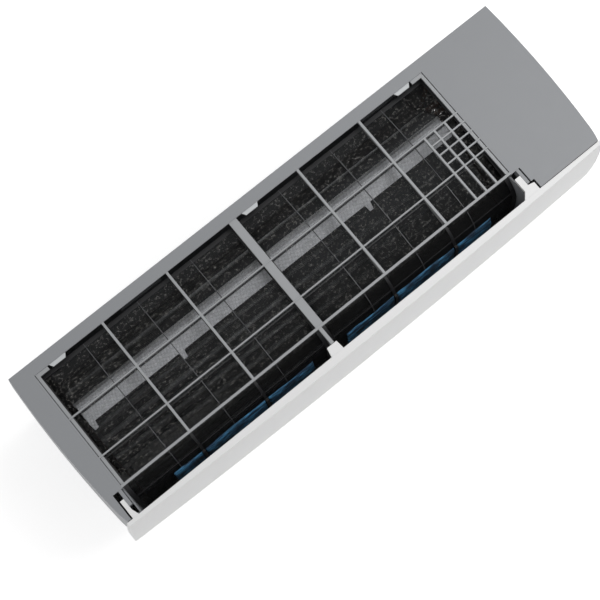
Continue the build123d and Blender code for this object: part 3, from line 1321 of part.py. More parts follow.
def fan_motor():
    """Resin-cased motor with a boss at each end."""
    with BuildPart() as motor:
        with BuildSketch(across(MOTOR_X[0], FAN)):
            Circle(MOTOR_R)
        extrude(amount=MOTOR_X[1] - MOTOR_X[0])
        chamfer(motor.edges().filter_by(GeomType.CIRCLE), length=MOTOR_CHAMFER)
        with BuildSketch(across(MOTOR_X[0] - MOTOR_RING, FAN)):
            Circle(MOTOR_BOSS_R)
        extrude(amount=MOTOR_X[1] - MOTOR_X[0] + 2 * MOTOR_RING)
        with BuildSketch(across(MOTOR_X[0] - MOTOR_RING - 1, FAN)):
            Circle(SHAFT_R + RUNNING_GAP)
        bore = MOTOR_RING + 1 + MOTOR_SHAFT_REACH + MOTOR_SHAFT_PLAY
        extrude(amount=bore, mode=Mode.SUBTRACT)
    write(motor, "fan_motor")


def motor_rings():
    """Rubber rings round the motor's bosses."""
    with BuildPart() as rings:
        for start in (MOTOR_X[0] - MOTOR_RING, MOTOR_X[1] + FIT):
            with BuildSketch(across(start, FAN)):
                Circle(MOTOR_RING_R)
                Circle(MOTOR_BOSS_R + SHAFT_FIT, mode=Mode.SUBTRACT)
            extrude(amount=MOTOR_RING - FIT)
    write(rings, "motor_rings")


def motor_clamp():
    """Strap over the motor, with a half ring above each cradle."""
    top = FAN[1] + MOTOR_R + FIT + CLAMP_THICK
    with BuildPart() as clamp:
        for start in (MOTOR_X[0] - MOTOR_RING, MOTOR_X[1] + FIT):
            outline = (
                (FAN[0] - CRADLE_HALF, FAN[1]),
                (FAN[0] + CRADLE_HALF, FAN[1]),
                (FAN[0] + CRADLE_HALF / 2, top),
                (FAN[0] - CRADLE_HALF / 2, top),
            )
            extrude(slab_face(outline, start), amount=MOTOR_RING - FIT)
            with BuildSketch(across(start, FAN)):
                Circle(MOTOR_RING_R + FIT / 4)
            extrude(amount=MOTOR_RING - FIT, mode=Mode.SUBTRACT)
        block(
            (MOTOR_X[0] - MOTOR_RING, MOTOR_X[1] + MOTOR_RING),
            (FAN[0] - CRADLE_HALF / 2, FAN[0] + CRADLE_HALF / 2),
            (top - CLAMP_THICK, top),
        )
    write(clamp, "motor_clamp")


# ================================================================ electrical side
def control_box():
    """Box for the electronics, open to the front, held on the duct's right wall."""
    with BuildPart() as box:
        block(BOX_X, BOX_Y, BOX_Z)
        block(
            (BOX_X[0] + BOX_WALL, BOX_X[1] - BOX_WALL),
            (BOX_Y[0] - 1, BOX_Y[1] - BOX_WALL),
            (BOX_Z[0] + BOX_WALL, BOX_Z[1] - BOX_WALL),
            Mode.SUBTRACT,
        )
        # lug on the duct wall
        block((OUTLET_RIGHT + DUCT_WALL + FIT, BOX_X[0] + BOX_WALL), BOX_LUG_Y, BOX_LUG_Z)
        # pegs under the board
        centre_x, centre_z = (sum(BOX_X) / 2, sum(BOX_Z) / 2)
        with BuildSketch(Plane.XZ.offset(-BOX_Y[1] + BOX_WALL)):
            with Locations((centre_x, centre_z)):
                with GridLocations(
                    BOX_X[1] - BOX_X[0] - 4 * BOARD_MARGIN,
                    BOX_Z[1] - BOX_Z[0] - 5 * BOARD_MARGIN,
                    2,
                    2,
                ):
                    Circle(BOX_PEG_R)
        extrude(amount=BOARD_STANDOFF)
    write(box, "control_box")


def control_board():
    """Circuit board with its relay, capacitors and connectors."""
    board_y = BOX_Y[1] - BOX_WALL - BOARD_STANDOFF
    face_y = board_y - BOARD_THICK
    edge = BOX_WALL + BOARD_MARGIN
    low_x, high_x = BOX_X[0] + edge, BOX_X[1] - edge
    low_z, high_z = BOX_Z[0] + edge, BOX_Z[1] - edge
    free_z = low_z + TERMINAL_HEIGHT  # nothing tall stands behind the terminals

    def at(share_x, share_z):
        return low_x + share_x * (high_x - low_x), free_z + share_z * (high_z - free_z)

    with BuildPart() as board:
        block((low_x, high_x), (face_y, board_y), (low_z, high_z))
        for (left, right), height, (lower, upper) in BOARD_PARTS:
            (x0, z0), (x1, z1) = at(left, lower), at(right, upper)
            block((x0, x1), (face_y - height, face_y), (z0, z1))
        with BuildSketch(Plane.XZ.offset(-face_y)):
            with Locations(*(at(*shares) for shares in CAPACITORS)):
                Circle(CAPACITOR_R)
        extrude(amount=CAPACITOR_HEIGHT)
    write(board, "control_board")


def control_box_cover():
    """Sheet-metal lid on the control box."""
    with BuildPart() as lid:
        low_z = BOX_Z[0] + BOX_WALL + TERMINAL_HEIGHT + 2 * BOARD_MARGIN
        block(BOX_X, (BOX_Y[0] - BOX_LID, BOX_Y[0]), (low_z, BOX_Z[1]))
    write(lid, "control_box_cover")


def terminal_block():
    """Screw terminals for the mains and the line to the outdoor unit."""
    low_z, high_z = BOX_Z[0] + BOX_WALL, BOX_Z[0] + BOX_WALL + TERMINAL_HEIGHT
    face_y = BOX_Y[0] + TERMINAL_BACK
    pocket_y = face_y + TERMINAL_POCKET_DEPTH
    pitch = (TERMINAL_X[1] - TERMINAL_X[0]) / TERMINAL_POLES
    head_r, head = TERMINAL_SCREW
    centres = [TERMINAL_X[0] + (count + 0.5) * pitch for count in range(TERMINAL_POLES)]
    with BuildPart() as terminals:
        block(TERMINAL_X, (face_y, face_y + TERMINAL_DEPTH), (low_z, high_z))
        for x in centres:
            half = pitch * TERMINAL_POCKET
            pocket_z = (low_z + TERMINAL_RIM, high_z - TERMINAL_RIM)
            block((x - half, x + half), (face_y - 1, pocket_y), pocket_z, Mode.SUBTRACT)
        with BuildSketch(Plane.XZ.offset(-pocket_y)):
            with Locations(*((x, (low_z + high_z) / 2) for x in centres)):
                Circle(head_r)
        extrude(amount=head)
    write(terminals, "terminal_block")


def terminal_cover():
    """Flat cover over the terminal opening, behind the front panel."""
    rear_y = FRONT_PLANE_Y - COVER_GAP
    with BuildPart() as cover:
        block(COVER_X, (rear_y - COVER_THICK, rear_y), COVER_Z)
    write(cover, "terminal_cover")


def display_board():
    """Small board with the lamps and the receiver, behind the window."""
    board, lamp, switch = DISPLAY_DEPTHS
    lamp_z = (BUTTON_Z - LAMP_HALF, BUTTON_Z + LAMP_HALF)
    with BuildPart() as display:
        block(DISPLAY_X, (DISPLAY_Y, DISPLAY_Y + board), WINDOW_Z)
        for share in DISPLAY_LAMPS:
            x = WINDOW_X[0] + share * (WINDOW_X[1] - WINDOW_X[0])
            block((x - LAMP_HALF, x + LAMP_HALF), (DISPLAY_Y - lamp, DISPLAY_Y), lamp_z)
        block(
            (BUTTON_X - SWITCH_HALF, BUTTON_X + SWITCH_HALF),
            (DISPLAY_Y - switch, DISPLAY_Y),
            (BUTTON_Z - SWITCH_HALF, BUTTON_Z + SWITCH_HALF),
        )
    write(display, "display_board")


def receiver_window():
    """Tinted window flush in the lower front band."""
    with BuildPart() as window:
        block(
            (WINDOW_X[0] + WINDOW_FIT, WINDOW_X[1] - WINDOW_FIT),
            (BAND_FRONT_Y + WINDOW_RECESS, BAND_FRONT_Y + WINDOW_RECESS + WINDOW_THICK),
            (WINDOW_Z[0] + WINDOW_FIT, WINDOW_Z[1] - WINDOW_FIT),
        )
    write(window, "receiver_window")


def auto_button():
    """Push button beside the window that starts the unit without the remote control."""
    back_y = DISPLAY_Y - DISPLAY_DEPTHS[2] - BUTTON_TRAVEL - SIDE_GAP
    with BuildPart() as button:
        with BuildSketch(Plane.XZ.offset(-back_y)):
            with Locations((BUTTON_X, BUTTON_Z)):
                Circle(BUTTON_R)
        extrude(amount=back_y - BUTTON_FRONT_Y)
        with BuildSketch(Plane.XZ.offset(-back_y)):
            with Locations((BUTTON_X, BUTTON_Z)):
                Circle(BUTTON_R + BUTTON_FLANGE)
        extrude(amount=BUTTON_FLANGE)
    write(button, "auto_button")


# ================================================================ louver and vanes
def main_louver():
    """Curved flap that closes the outlet, with three ears on its pivot line and end pins."""
    start_x = OUTLET_LEFT + LOUVER_END_GAP
    end_x = OUTLET_RIGHT - LOUVER_END_GAP
    with BuildLine():
        outer = ThreePointArc(OUTLET_TOP, outlet_middle(0.0), OUTLET_BOTTOM)
    radius = outer.radius
    share = (radius - LOUVER_THICK / 2) / radius
    centre = outer.arc_center
    ends = [centre + (point - centre) * share for point in (outer @ 0, outer @ 0.5, outer @ 1)]
    with BuildLine():
        line = ThreePointArc(*ends)
    gap = LOUVER_LIP_GAP / line.length
    body = line.trim(gap, 1 - gap)
    foot = [body @ share for share in LOUVER_EAR_FOOT]
    along = OUTLET_HEADING
    near = [away(LOUVER_PIVOT, along + turn, LOUVER_EAR_R) for turn in (180.0, 0.0)]
    ears = (start_x, (start_x + end_x) / 2, end_x - LOUVER_EAR)
    with BuildPart() as louver:
        with BuildSketch(Plane.YZ.offset(start_x)):
            trace(body, line_width=LOUVER_THICK)
        extrude(amount=end_x - start_x)
        for ear_x in ears:
            with BuildSketch(Plane.YZ.offset(ear_x)):
                with BuildLine():
                    Polyline(
                        near[0], (foot[0].X, foot[0].Y), (foot[1].X, foot[1].Y), near[1],
                        close=True,
                    )
                make_face()
                with Locations(LOUVER_PIVOT):
                    Circle(LOUVER_EAR_R)
            extrude(amount=LOUVER_EAR)
        for pin_x, reach in ((start_x + 1, -1), (end_x - 1, 1)):
            with BuildSketch(across(pin_x, LOUVER_PIVOT)):
                Circle(LOUVER_PIN_R)
            extrude(amount=reach * (LOUVER_END_GAP + DUCT_WALL + LOUVER_PIN_REACH))
    write(louver, "main_louver")


def louver_motor():
    """Stepper motor beside the duct; its shaft sits off the middle of its body."""
    centre = away(LOUVER_PIVOT, OUTLET_OUTWARD + 180.0, LOUVER_MOTOR_SHIFT)
    with BuildPart() as motor:
        with BuildSketch(across(LOUVER_MOTOR_X[0], centre)):
            Circle(LOUVER_MOTOR_R)
        extrude(amount=LOUVER_MOTOR_X[1] - LOUVER_MOTOR_X[0])
        lug_width, lug_thick = LOUVER_MOTOR_LUG
        with BuildSketch(across(LOUVER_MOTOR_X[0], centre, OUTLET_HEADING)):
            SlotCenterToCenter(2 * LOUVER_MOTOR_R + lug_width, lug_width)
        extrude(amount=lug_thick)
        with BuildSketch(across(LOUVER_MOTOR_X[0], LOUVER_PIVOT)):
            Circle(LOUVER_PIN_R + RUNNING_GAP)
        extrude(amount=LOUVER_MOTOR_BORE, mode=Mode.SUBTRACT)
    write(motor, "louver_motor")


def vane(label, x):
    """One vertical vane, its pivot pin in the duct's floor and its crank pin in the bar."""
    notch = CRANK - BAR_WIDTH / 2 - BAR_NOTCH
    shoulder = BAR_LIFT + BAR_THICK + BAR_CLEAR
    outline = (
        (-notch, VANE_LIFT),
        (VANE_FRONT, VANE_LIFT),
        (VANE_FRONT, VANE_TOP),
        (VANE_REAR / 2, VANE_TOP),
        (VANE_REAR, VANE_REAR_TOP),
        (VANE_REAR, shoulder),
        (-notch, shoulder),
    )
    flow = math.radians(FLOW)
    side = Plane(
        origin=(x, VANE_FLOOR[0], VANE_FLOOR[1]),
        x_dir=(0, math.cos(flow), math.sin(flow)),
        z_dir=(-1, 0, 0),
    )
    with BuildPart() as blade:
        with BuildSketch(side):
            with BuildLine():
                Polyline(*outline, close=True)
            make_face()
        extrude(amount=VANE_THICK / 2, both=True)
        with BuildSketch(vane_base(x, -DUCT_WALL + VANE_PIN_FIT)):
            Circle(VANE_PIN_R)
        extrude(amount=DUCT_WALL - VANE_PIN_FIT + VANE_LIFT + VANE_PIN_ROOT)
        with BuildSketch(vane_base(x, BAR_LIFT - CRANK_PIN_END)):
            with Locations((0, CRANK)):
                Circle(CRANK_PIN_R)
        extrude(amount=shoulder - BAR_LIFT + 2 * CRANK_PIN_END)
    write(blade, label)


def link_bar(side, centre):
    """Bar that joins one group's crank pins, with a slot for each pin to slide in."""
    length = (VANE_COUNT - 1) * VANE_PITCH + 2 * BAR_END
    swing = CRANK * (1 - math.cos(math.radians(VANE_SWING)))
    slot_width = 2 * (CRANK_PIN_R + CRANK_SLACK)
    slot_length = slot_width + swing + 2 * SLOT_PLAY
    with BuildPart() as bar:
        with BuildSketch(vane_base(centre, BAR_LIFT)):
            with Locations((0, CRANK - swing / 2 + BAR_SHIFT)):
                Rectangle(length, BAR_WIDTH)
                with GridLocations(VANE_PITCH, 1, VANE_COUNT, 1):
                    SlotOverall(slot_length, slot_width, rotation=90, mode=Mode.SUBTRACT)
        extrude(amount=BAR_THICK)
    write(bar, f"{side}_link_bar")


def main():
    """Makes every piece."""
    front_case()
    intake_grille()
    filter_catches()
    hinge_seats()
    front_panel()
    for side in FILTER_CENTRES:
        filter_frame(side)
        filter_mesh(side)
        purifying_strip(side)
    rear_chassis()
    drain_pan()
    drain_spigot()
    case_screws()
    for name, ends in COIL_SLABS.items():
        coil_slab(name, ends)
    coil_end_plates()
    coil_bends()
    coil_ridge_plate()
    refrigerant_pipe("liquid_pipe", LIQUID_R, LIQUID_ROUTE, LIQUID_X)
    refrigerant_pipe("gas_pipe", GAS_R, GAS_ROUTE, GAS_X)
    flare_nuts()
    cross_flow_fan()
    fan_journal()
    bearing_bush()
    bearing_holder()
    motor_shaft()
    hub_screw()
    fan_motor()
    motor_rings()
    motor_clamp()
    control_box()
    control_board()
    control_box_cover()
    terminal_block()
    terminal_cover()
    display_board()
    receiver_window()
    auto_button()
    main_louver()
    louver_motor()
    for side, centre in VANE_GROUPS.items():
        for count in range(VANE_COUNT):
            x = centre + (count - (VANE_COUNT - 1) / 2) * VANE_PITCH
            vane(f"{side}_vane_{count + 1}", x)
        link_bar(side, centre)


main()
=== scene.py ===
# %% [markdown]
# # Indoor unit of a split air conditioner
#
# The real unit hangs high on a wall. A white panel covers its front, its grey top is one large
# grid for the air to enter, and under the grid lie two black filters and the dark fins of the
# heat exchanger. All its solids were drawn beforehand and come in as a fixed frame, in metres:
# X to the right as seen from the room, Y back into the wall and Z up, with the origin on the wall
# behind the middle of the unit. They could be modelled again here, but loading them keeps every
# joint and screw hole true. So this script models only what solids can't carry well, such as
# threads and fins, and gives every piece its surface.

# %% Frame and imports
import math

import bpy
import numpy as np
from mathutils import Matrix, Vector


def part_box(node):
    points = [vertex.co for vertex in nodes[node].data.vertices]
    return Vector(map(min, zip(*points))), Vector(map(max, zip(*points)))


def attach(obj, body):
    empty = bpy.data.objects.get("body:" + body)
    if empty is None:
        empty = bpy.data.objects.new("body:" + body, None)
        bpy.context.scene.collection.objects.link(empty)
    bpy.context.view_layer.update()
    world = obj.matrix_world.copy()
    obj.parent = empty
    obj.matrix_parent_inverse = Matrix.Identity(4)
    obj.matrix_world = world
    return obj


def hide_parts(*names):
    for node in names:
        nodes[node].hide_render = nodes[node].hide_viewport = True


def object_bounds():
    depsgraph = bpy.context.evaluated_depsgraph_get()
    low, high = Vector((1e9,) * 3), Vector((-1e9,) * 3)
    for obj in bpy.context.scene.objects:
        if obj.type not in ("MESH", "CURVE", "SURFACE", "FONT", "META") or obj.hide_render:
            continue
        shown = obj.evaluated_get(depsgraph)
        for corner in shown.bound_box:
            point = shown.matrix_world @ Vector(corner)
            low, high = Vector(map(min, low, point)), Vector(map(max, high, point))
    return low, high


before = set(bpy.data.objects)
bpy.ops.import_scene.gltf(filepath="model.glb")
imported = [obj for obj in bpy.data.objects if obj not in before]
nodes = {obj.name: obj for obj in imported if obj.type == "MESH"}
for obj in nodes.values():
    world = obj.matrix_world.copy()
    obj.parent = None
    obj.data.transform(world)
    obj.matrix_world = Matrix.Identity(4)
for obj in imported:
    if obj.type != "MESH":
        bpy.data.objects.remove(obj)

cad_low, cad_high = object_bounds()
scene = bpy.context.scene
print("CAD box in mm:", [round(1000 * (b - a)) for a, b in zip(cad_low, cad_high)])

# %% [markdown]
# ## Colours
#
# A colour is easiest to pick on a screen, as a code such as "8F9498", but light adds up on
# another, linear scale. Each material could convert its own, but one function for all of them
# makes sure that no colour is converted twice or not at all.

# %% Colour conversion
def linear(code):
    """sRGB hex code to linear RGBA: c/12.92 below 0.04045, else ((c + 0.055) / 1.055) ** 2.4."""
    values = [int(code[i:i + 2], 16) / 255 for i in (0, 2, 4)]
    out = [c / 12.92 if c <= 0.04045 else ((c + 0.055) / 1.055) ** 2.4 for c in values]
    return (*out, 1.0)


print("linear value of mid grey 808080:", round(linear("808080")[0], 4))

# %% [markdown]
# ## Shader nodes
#
# A material is a small network of nodes. They could be added in Blender's editor by hand, or one
# call at a time, but one function that takes numbers, links and settings and hands back an output
# makes each recipe short enough to read: the output of one call goes straight into the next.
# Sockets are chosen by name or, where a node has several of one name, by their place in its list.

# %% Node helper
FACTOR, TONE_A, TONE_B, MIXED = 0, 6, 7, 2  # places of a colour mix's inputs, and of its output


def add_node(owner, kind, inputs, output=0, **settings):
    """Adds a shader node with constants or links on its inputs, and returns one of its outputs."""
    new = owner.node_tree.nodes.new("ShaderNode" + kind)
    for name, value in settings.items():
        setattr(new, name, value)
    for name, value in inputs.items():
        if isinstance(value, bpy.types.NodeSocket):
            owner.node_tree.links.new(value, new.inputs[name])
        else:
            new.inputs[name].default_value = value
    return new.outputs[output] if new.outputs else None


def blank_material(name):
    """A new material with all of its nodes removed."""
    material = bpy.data.materials.new(name)
    material.use_nodes = True
    material.node_tree.nodes.clear()
    return material


def ramp(material, value, low, high):
    """Factor that rises from 0 to 1 as a value goes from low to high: (v - low)/(high - low)."""
    rise = 1.0 / (high - low)
    inputs = {0: value, 1: rise, 2: -low * rise}
    return add_node(material, "Math", inputs, operation="MULTIPLY_ADD", use_clamp=True)


print("a ramp from 0.6 to 0.9 rises by", round(1.0 / (0.9 - 0.6), 2), "for each unit")

# %% [markdown]
# ## Meshes from arrays
#
# A mesh could be built point by point, but a whole array of points and faces is handed over in one
# step, which is as quick for a hundred thousand corners of threads as for one.

# %% Mesh helper
def make_mesh(name, vertices, face_sets, material, body):
    """Object that rides on a body, from points in metres and one array of faces for each shape."""
    mesh = bpy.data.meshes.new(name)
    corners = np.concatenate([faces.ravel() for faces in face_sets]).astype(np.int32)
    sides = np.concatenate([np.full(len(faces), faces.shape[1]) for faces in face_sets])
    starts = (np.cumsum(sides) - sides).astype(np.int32)
    mesh.vertices.add(len(vertices))
    mesh.vertices.foreach_set("co", np.asarray(vertices, np.float32).ravel())
    mesh.loops.add(len(corners))
    mesh.loops.foreach_set("vertex_index", corners)
    mesh.polygons.add(len(starts))
    mesh.polygons.foreach_set("loop_start", starts)
    mesh.update(calc_edges=True)
    mesh.validate()
    piece = bpy.data.objects.new(name, mesh)
    scene.collection.objects.link(piece)
    mesh.materials.append(material)
    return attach(piece, body)


print("solids in the frame:", len(nodes))

# %% [markdown]
# ## Camera
#
# The photograph was taken from 1.9 m above the middle of the unit, a little to the left and in
# front, almost straight down, with the unit turned by about 38 degrees in the picture. The camera
# could be placed by eye, but its place and turn here come from a fit of the case's corners and
# ribs to their places in the photograph, which leaves a third of a pixel of error on average.

# %% Camera
CAMERA_PLACE = (-0.2809, -0.4151, 1.9069)
CAMERA_RIGHT = (0.7738835551, -0.6332684968, 0.0086749093)
CAMERA_DOWN = (-0.6198718123, -0.7601785807, -0.1946470184)
CAMERA_AHEAD = (0.1298583050, 0.1452567948, -0.9808349933)
LENS_MM = 84.0
SENSOR_MM = 36.0
CLIP_NEAR = 0.05
CLIP_FAR = 50.0

lens = bpy.data.cameras.new("camera")
lens.lens = LENS_MM
lens.sensor_width = SENSOR_MM
lens.clip_start = CLIP_NEAR
lens.clip_end = CLIP_FAR
camera = bpy.data.objects.new("camera", lens)
scene.collection.objects.link(camera)
axes = np.column_stack((CAMERA_RIGHT, -np.array(CAMERA_DOWN), -np.array(CAMERA_AHEAD)))
turn = Matrix(axes.tolist()).to_4x4()
camera.matrix_world = Matrix.Translation(CAMERA_PLACE) @ turn
scene.camera = camera
print("camera stands at", CAMERA_PLACE, "with a lens of", LENS_MM, "mm")

# %% [markdown]
# ## Floor and sky
#
# The photograph has a plain white background. More light on the object could make the floor that
# white, but it would bleach the object too. So the floor and the sky are brighter only to the rays
# that look at them, directly, in a reflection or through glass, and lend a dimmer, even light to
# all others. The floor's own share of light stays in its colour, so that it keeps the object's
# soft shadow.

# %% Floor and sky
FLOOR_SIZE = 30.0
FLOOR_GAP = 0.001
FLOOR_GLOW = 0.6
SKY_STRENGTH = 0.40
WHITE = (1.0, 1.0, 1.0, 1.0)


def seen(owner):
    """The largest of three flags: 1 for a ray from the camera, from gloss or through glass."""
    factor = add_node(owner, "LightPath", {}, "Is Camera Ray")
    for kind in ("Is Glossy Ray", "Is Transmission Ray"):
        flag = add_node(owner, "LightPath", {}, kind)
        factor = add_node(owner, "Math", {0: factor, 1: flag}, operation="MAXIMUM")
    return factor


world = bpy.data.worlds.new("studio")
scene.world = world
world.use_nodes = True
world.node_tree.nodes.clear()
sky_inputs = {0: seen(world), 1: 1.0 - SKY_STRENGTH, 2: SKY_STRENGTH}
strength = add_node(world, "Math", sky_inputs, operation="MULTIPLY_ADD")
sky = add_node(world, "Background", {"Color": WHITE, "Strength": strength})
add_node(world, "OutputWorld", {"Surface": sky})

floor_material = blank_material("floor_painted_white")
glow_inputs = {0: seen(floor_material), 1: FLOOR_GLOW}
strength = add_node(floor_material, "Math", glow_inputs, operation="MULTIPLY")
glow = add_node(floor_material, "Emission", {"Color": WHITE, "Strength": strength})
pale = add_node(floor_material, "BsdfDiffuse", {"Color": linear("E6E6E6")})
both = add_node(floor_material, "AddShader", {0: pale, 1: glow})
add_node(floor_material, "OutputMaterial", {"Surface": both})

half = FLOOR_SIZE / 2
level = cad_low.z - FLOOR_GAP
floor_mesh = bpy.data.meshes.new("floor")
corners = [(-half, -half, level), (half, -half, level), (half, half, level), (-half, half, level)]
floor_mesh.from_pydata(corners, [], [(0, 1, 2, 3)])
floor_mesh.materials.append(floor_material)
floor = bpy.data.objects.new("floor", floor_mesh)
scene.collection.objects.link(floor)
print("floor level in mm:", round(1000 * level, 1))

# %% [markdown]
# ## Lamps
#
# In the photograph the unit is brighter towards its right end, and its panel's top edge is
# brighter than its face. A single small lamp would throw hard shadows through the grid, so the
# light comes from large soft ones: the main one hangs over the right end, a weak second stands in
# front of it, and a third lights the left end. Each points at the origin.

# %% Lamps
LAMPS = (  # name, place, watts, side in metres
    ("lamp_over", (1.3, -0.4, 2.3), 33.0, 1.8),
    ("lamp_front", (1.5, -2.4, 1.0), 3.0, 1.6),
    ("lamp_left", (-2.4, -0.4, 1.6), 9.0, 1.5),
)

for name, place, watts, side in LAMPS:
    light = bpy.data.lights.new(name, "AREA")
    light.energy = watts
    light.size = side
    lamp = bpy.data.objects.new(name, light)
    scene.collection.objects.link(lamp)
    lamp.location = place
    lamp.rotation_mode = "QUATERNION"
    lamp.rotation_quaternion = (-Vector(place)).to_track_quat("-Z", "Y")

scene.view_settings.view_transform = "Standard"
print("lamps:", *(lamp[0] for lamp in LAMPS))

# %% [markdown]
# ## How a surface is put together
#
# A real surface is never one flat tone. Each recipe below mixes two colours by a random pattern
# and tilts the surface by another. Patterns could be painted on, but worked out from positions in
# the object's own space they have no seams and stay put when a piece moves. Their sizes are given
# in millimetres, as they would be measured on the piece.

# %% Pattern helpers
MM = 0.001
EVEN = (1.0, 1.0, 1.0)
BEVEL_SAMPLES = 4


def speckle(material, size, detail=3.0, stretch=EVEN):
    """Smooth random pattern from 0 to 1. Its features are a size in mm over the stretch wide."""
    place = add_node(material, "TexCoord", {}, "Object")
    place = add_node(material, "Mapping", {"Vector": place, "Scale": stretch})
    inputs = {"Vector": place, "Scale": 1 / (size * MM), "Detail": detail}
    return add_node(material, "TexNoise", inputs, "Fac")


def place_along(material, axis):
    """Place along an axis of the object's space, in metres."""
    place = add_node(material, "TexCoord", {}, "Object")
    return add_node(material, "SeparateXYZ", {0: place}, axis)


def relief(material, height, depth, edge=0.0):
    """Normal tilted by the slope of a height times a depth, on edges rounded to a radius in mm."""
    inputs = {"Height": height, "Distance": depth * MM, "Strength": 1.0}
    if edge:
        radius = {"Radius": edge * MM}
        inputs["Normal"] = add_node(material, "Bevel", radius, samples=BEVEL_SAMPLES)
    return add_node(material, "Bump", inputs)


def finish(material, colour, roughness, normal, **others):
    """Gives a material one principled surface, with others as inputs of its own."""
    inputs = {"Base Color": colour, "Roughness": roughness, "Normal": normal, **others}
    surface = add_node(material, "BsdfPrincipled", inputs)
    add_node(material, "OutputMaterial", {"Surface": surface})
    return material


print("patterns: speckle and relief, in mm")

# %% [markdown]
# ## Moulded plastics
#
# Most of the unit is injection moulded. The mould's fine texture breaks up the gloss, the flow of
# the melt leaves a faint cloudiness over several centimetres, and no edge is quite sharp. Each
# piece could have its own network, but one recipe covers them all: only colour, gloss and depth of
# texture differ. The texture is drawn at 0.4 mm, coarser than the real 0.1 mm, so that it shows.

# %% Recipe for moulded plastic
CLOUD_SIZE = 70.0
MOULD_TEXTURE = 0.4
MOULD_EDGE = 0.4
GLOSS_PATCH = 17.0
GLOSS_SPREAD = 0.08


def moulded(name, code, roughness, texture=0.012, shift=0.03, ior=1.5):
    """Moulded plastic: its lighter tone is the colour times 1 + shift, its texture in mm."""
    material = blank_material(name)
    dark = linear(code)
    light = tuple(min(1.0, c * (1.0 + shift)) for c in dark[:3]) + (1.0,)
    clouds = {FACTOR: speckle(material, CLOUD_SIZE), TONE_A: dark, TONE_B: light}
    colour = add_node(material, "Mix", clouds, MIXED, data_type="RGBA")
    normal = relief(material, speckle(material, MOULD_TEXTURE, 2.0), texture, MOULD_EDGE)
    patches = {0: speckle(material, GLOSS_PATCH), 1: GLOSS_SPREAD, 2: roughness - GLOSS_SPREAD / 2}
    rough = add_node(material, "Math", patches, operation="MULTIPLY_ADD")
    return finish(material, colour, rough, normal, IOR=ior)


print("mould texture drawn at", MOULD_TEXTURE, "mm")

# %% [markdown]
# ## Plastics of the outside
#
# The case, the grille and the panel are moulded ABS. A painted part would need a coat, but these
# are coloured right through. The case's spark-eroded texture gives it an even satin look, the
# grille's ribs are smoother and look a little lighter, and the panel's finer texture gives it a
# softer satin. The receiver's window is tinted polycarbonate, dark and glossy like glass.

# %% Outside plastics
abs_case = moulded("abs_moulded_grey", "8A8C8F", 0.46, 0.018)
abs_grille = moulded("abs_moulded_light_grey", "999B9D", 0.40)
abs_catch = moulded("abs_moulded_pale_grey", "C4C7C9", 0.40)
abs_panel = moulded("abs_moulded_white", "E8E8E8", 0.42, 0.008)
polycarbonate = blank_material("polycarbonate_tinted")
flow = {FACTOR: speckle(polycarbonate, 33.0), TONE_A: linear("1A1214"), TONE_B: linear("241A1C")}
tint = add_node(polycarbonate, "Mix", flow, MIXED, data_type="RGBA")
flow_marks = relief(polycarbonate, speckle(polycarbonate, 5.0), 0.004)
finish(polycarbonate, tint, 0.08, flow_marks, IOR=1.585)
outside = (abs_case, abs_grille, abs_catch, abs_panel, polycarbonate)
print("outside:", *(material.name for material in outside))

# %% [markdown]
# ## Filter frame
#
# The frame is moulded in black polypropylene, which looks slightly waxy. Its thin ribs are
# painted a lighter grey as a highlight, where their tops would catch the light. Separate pieces
# could carry the second tone, but the ribs are one moulding with the frame, so the material finds
# them by place: x belongs to a rib at r when |x - r| is under the rib's half width.

# %% Black polypropylene
THIN_RIB_OFFSETS = (-0.0875, 0.0, 0.0875)  # from the middle of a frame, in metres
THIN_RIB_HALF = 0.0005
SHEET_EDGE = 0.2

polypropylene = blank_material("polypropylene_moulded_black")
across = place_along(polypropylene, "X")
rib_highlight = 0.0
for side in ("left", "right"):
    low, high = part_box(f"filter_frame_{side}")
    for offset in THIN_RIB_OFFSETS:
        test = {0: across, 1: (low.x + high.x) / 2 + offset, 2: THIN_RIB_HALF}
        here = add_node(polypropylene, "Math", test, operation="COMPARE")
        rib_highlight = add_node(polypropylene, "Math", {0: rib_highlight, 1: here}, operation="ADD")
# Painted highlight: the thin ribs are coloured a lighter grey than the black frame.
tones = {FACTOR: rib_highlight, TONE_A: linear("161618"), TONE_B: linear("424345")}
frame_colour = add_node(polypropylene, "Mix", tones, MIXED, data_type="RGBA")
frame_texture = speckle(polypropylene, MOULD_TEXTURE, 2.0)
frame_normal = relief(polypropylene, frame_texture, 0.012, SHEET_EDGE)
finish(polypropylene, frame_colour, 0.5, frame_normal, IOR=1.49)
print("thin ribs found by place:", 2 * len(THIN_RIB_OFFSETS))

# %% [markdown]
# ## Plastics and rubber inside
#
# The chassis is dark moulded polystyrene, and the drain pan is foamed from the same plastic, white
# and beady. The fan and the vanes are glass-filled resin and dull, the control box is flame-proof
# PBT, a shade smoother, the motor is cast in a sandy resin, and its mounts are EPDM rubber, which
# hardly shines. They could share one black, but beside each other the differences tell them apart.

# %% Inside plastics
polystyrene = moulded("polystyrene_moulded_dark", "2E3032", 0.6)
foamed_pan = moulded("polystyrene_foamed_white", "B9BABA", 0.65, 0.04, ior=1.55)
glass_filled = moulded("glass_filled_resin_moulded", "1E1F21", 0.45, ior=1.57)
pbt_box = moulded("pbt_moulded_black", "26272A", 0.5, ior=1.57)
cast_resin = moulded("resin_cast_sand", "A8A69E", 0.55, shift=0.1, ior=1.55)
epdm = moulded("epdm_rubber_moulded_black", "151515", 0.8, 0.05, ior=1.52)
inside = (polystyrene, foamed_pan, glass_filled, pbt_box, cast_resin, epdm)
print("inside:", *(material.name for material in inside))

# %% [markdown]
# ## Boards
#
# The boards are glass cloth in epoxy under a green lacquer, through which the copper tracks show
# lighter and slightly raised. The tracks could be drawn one by one, but they hardly show, so a
# brick pattern stands for them. It is drawn at 4 mm, so that it shows.

# %% Green board
TRACK_FIELD = 4.2

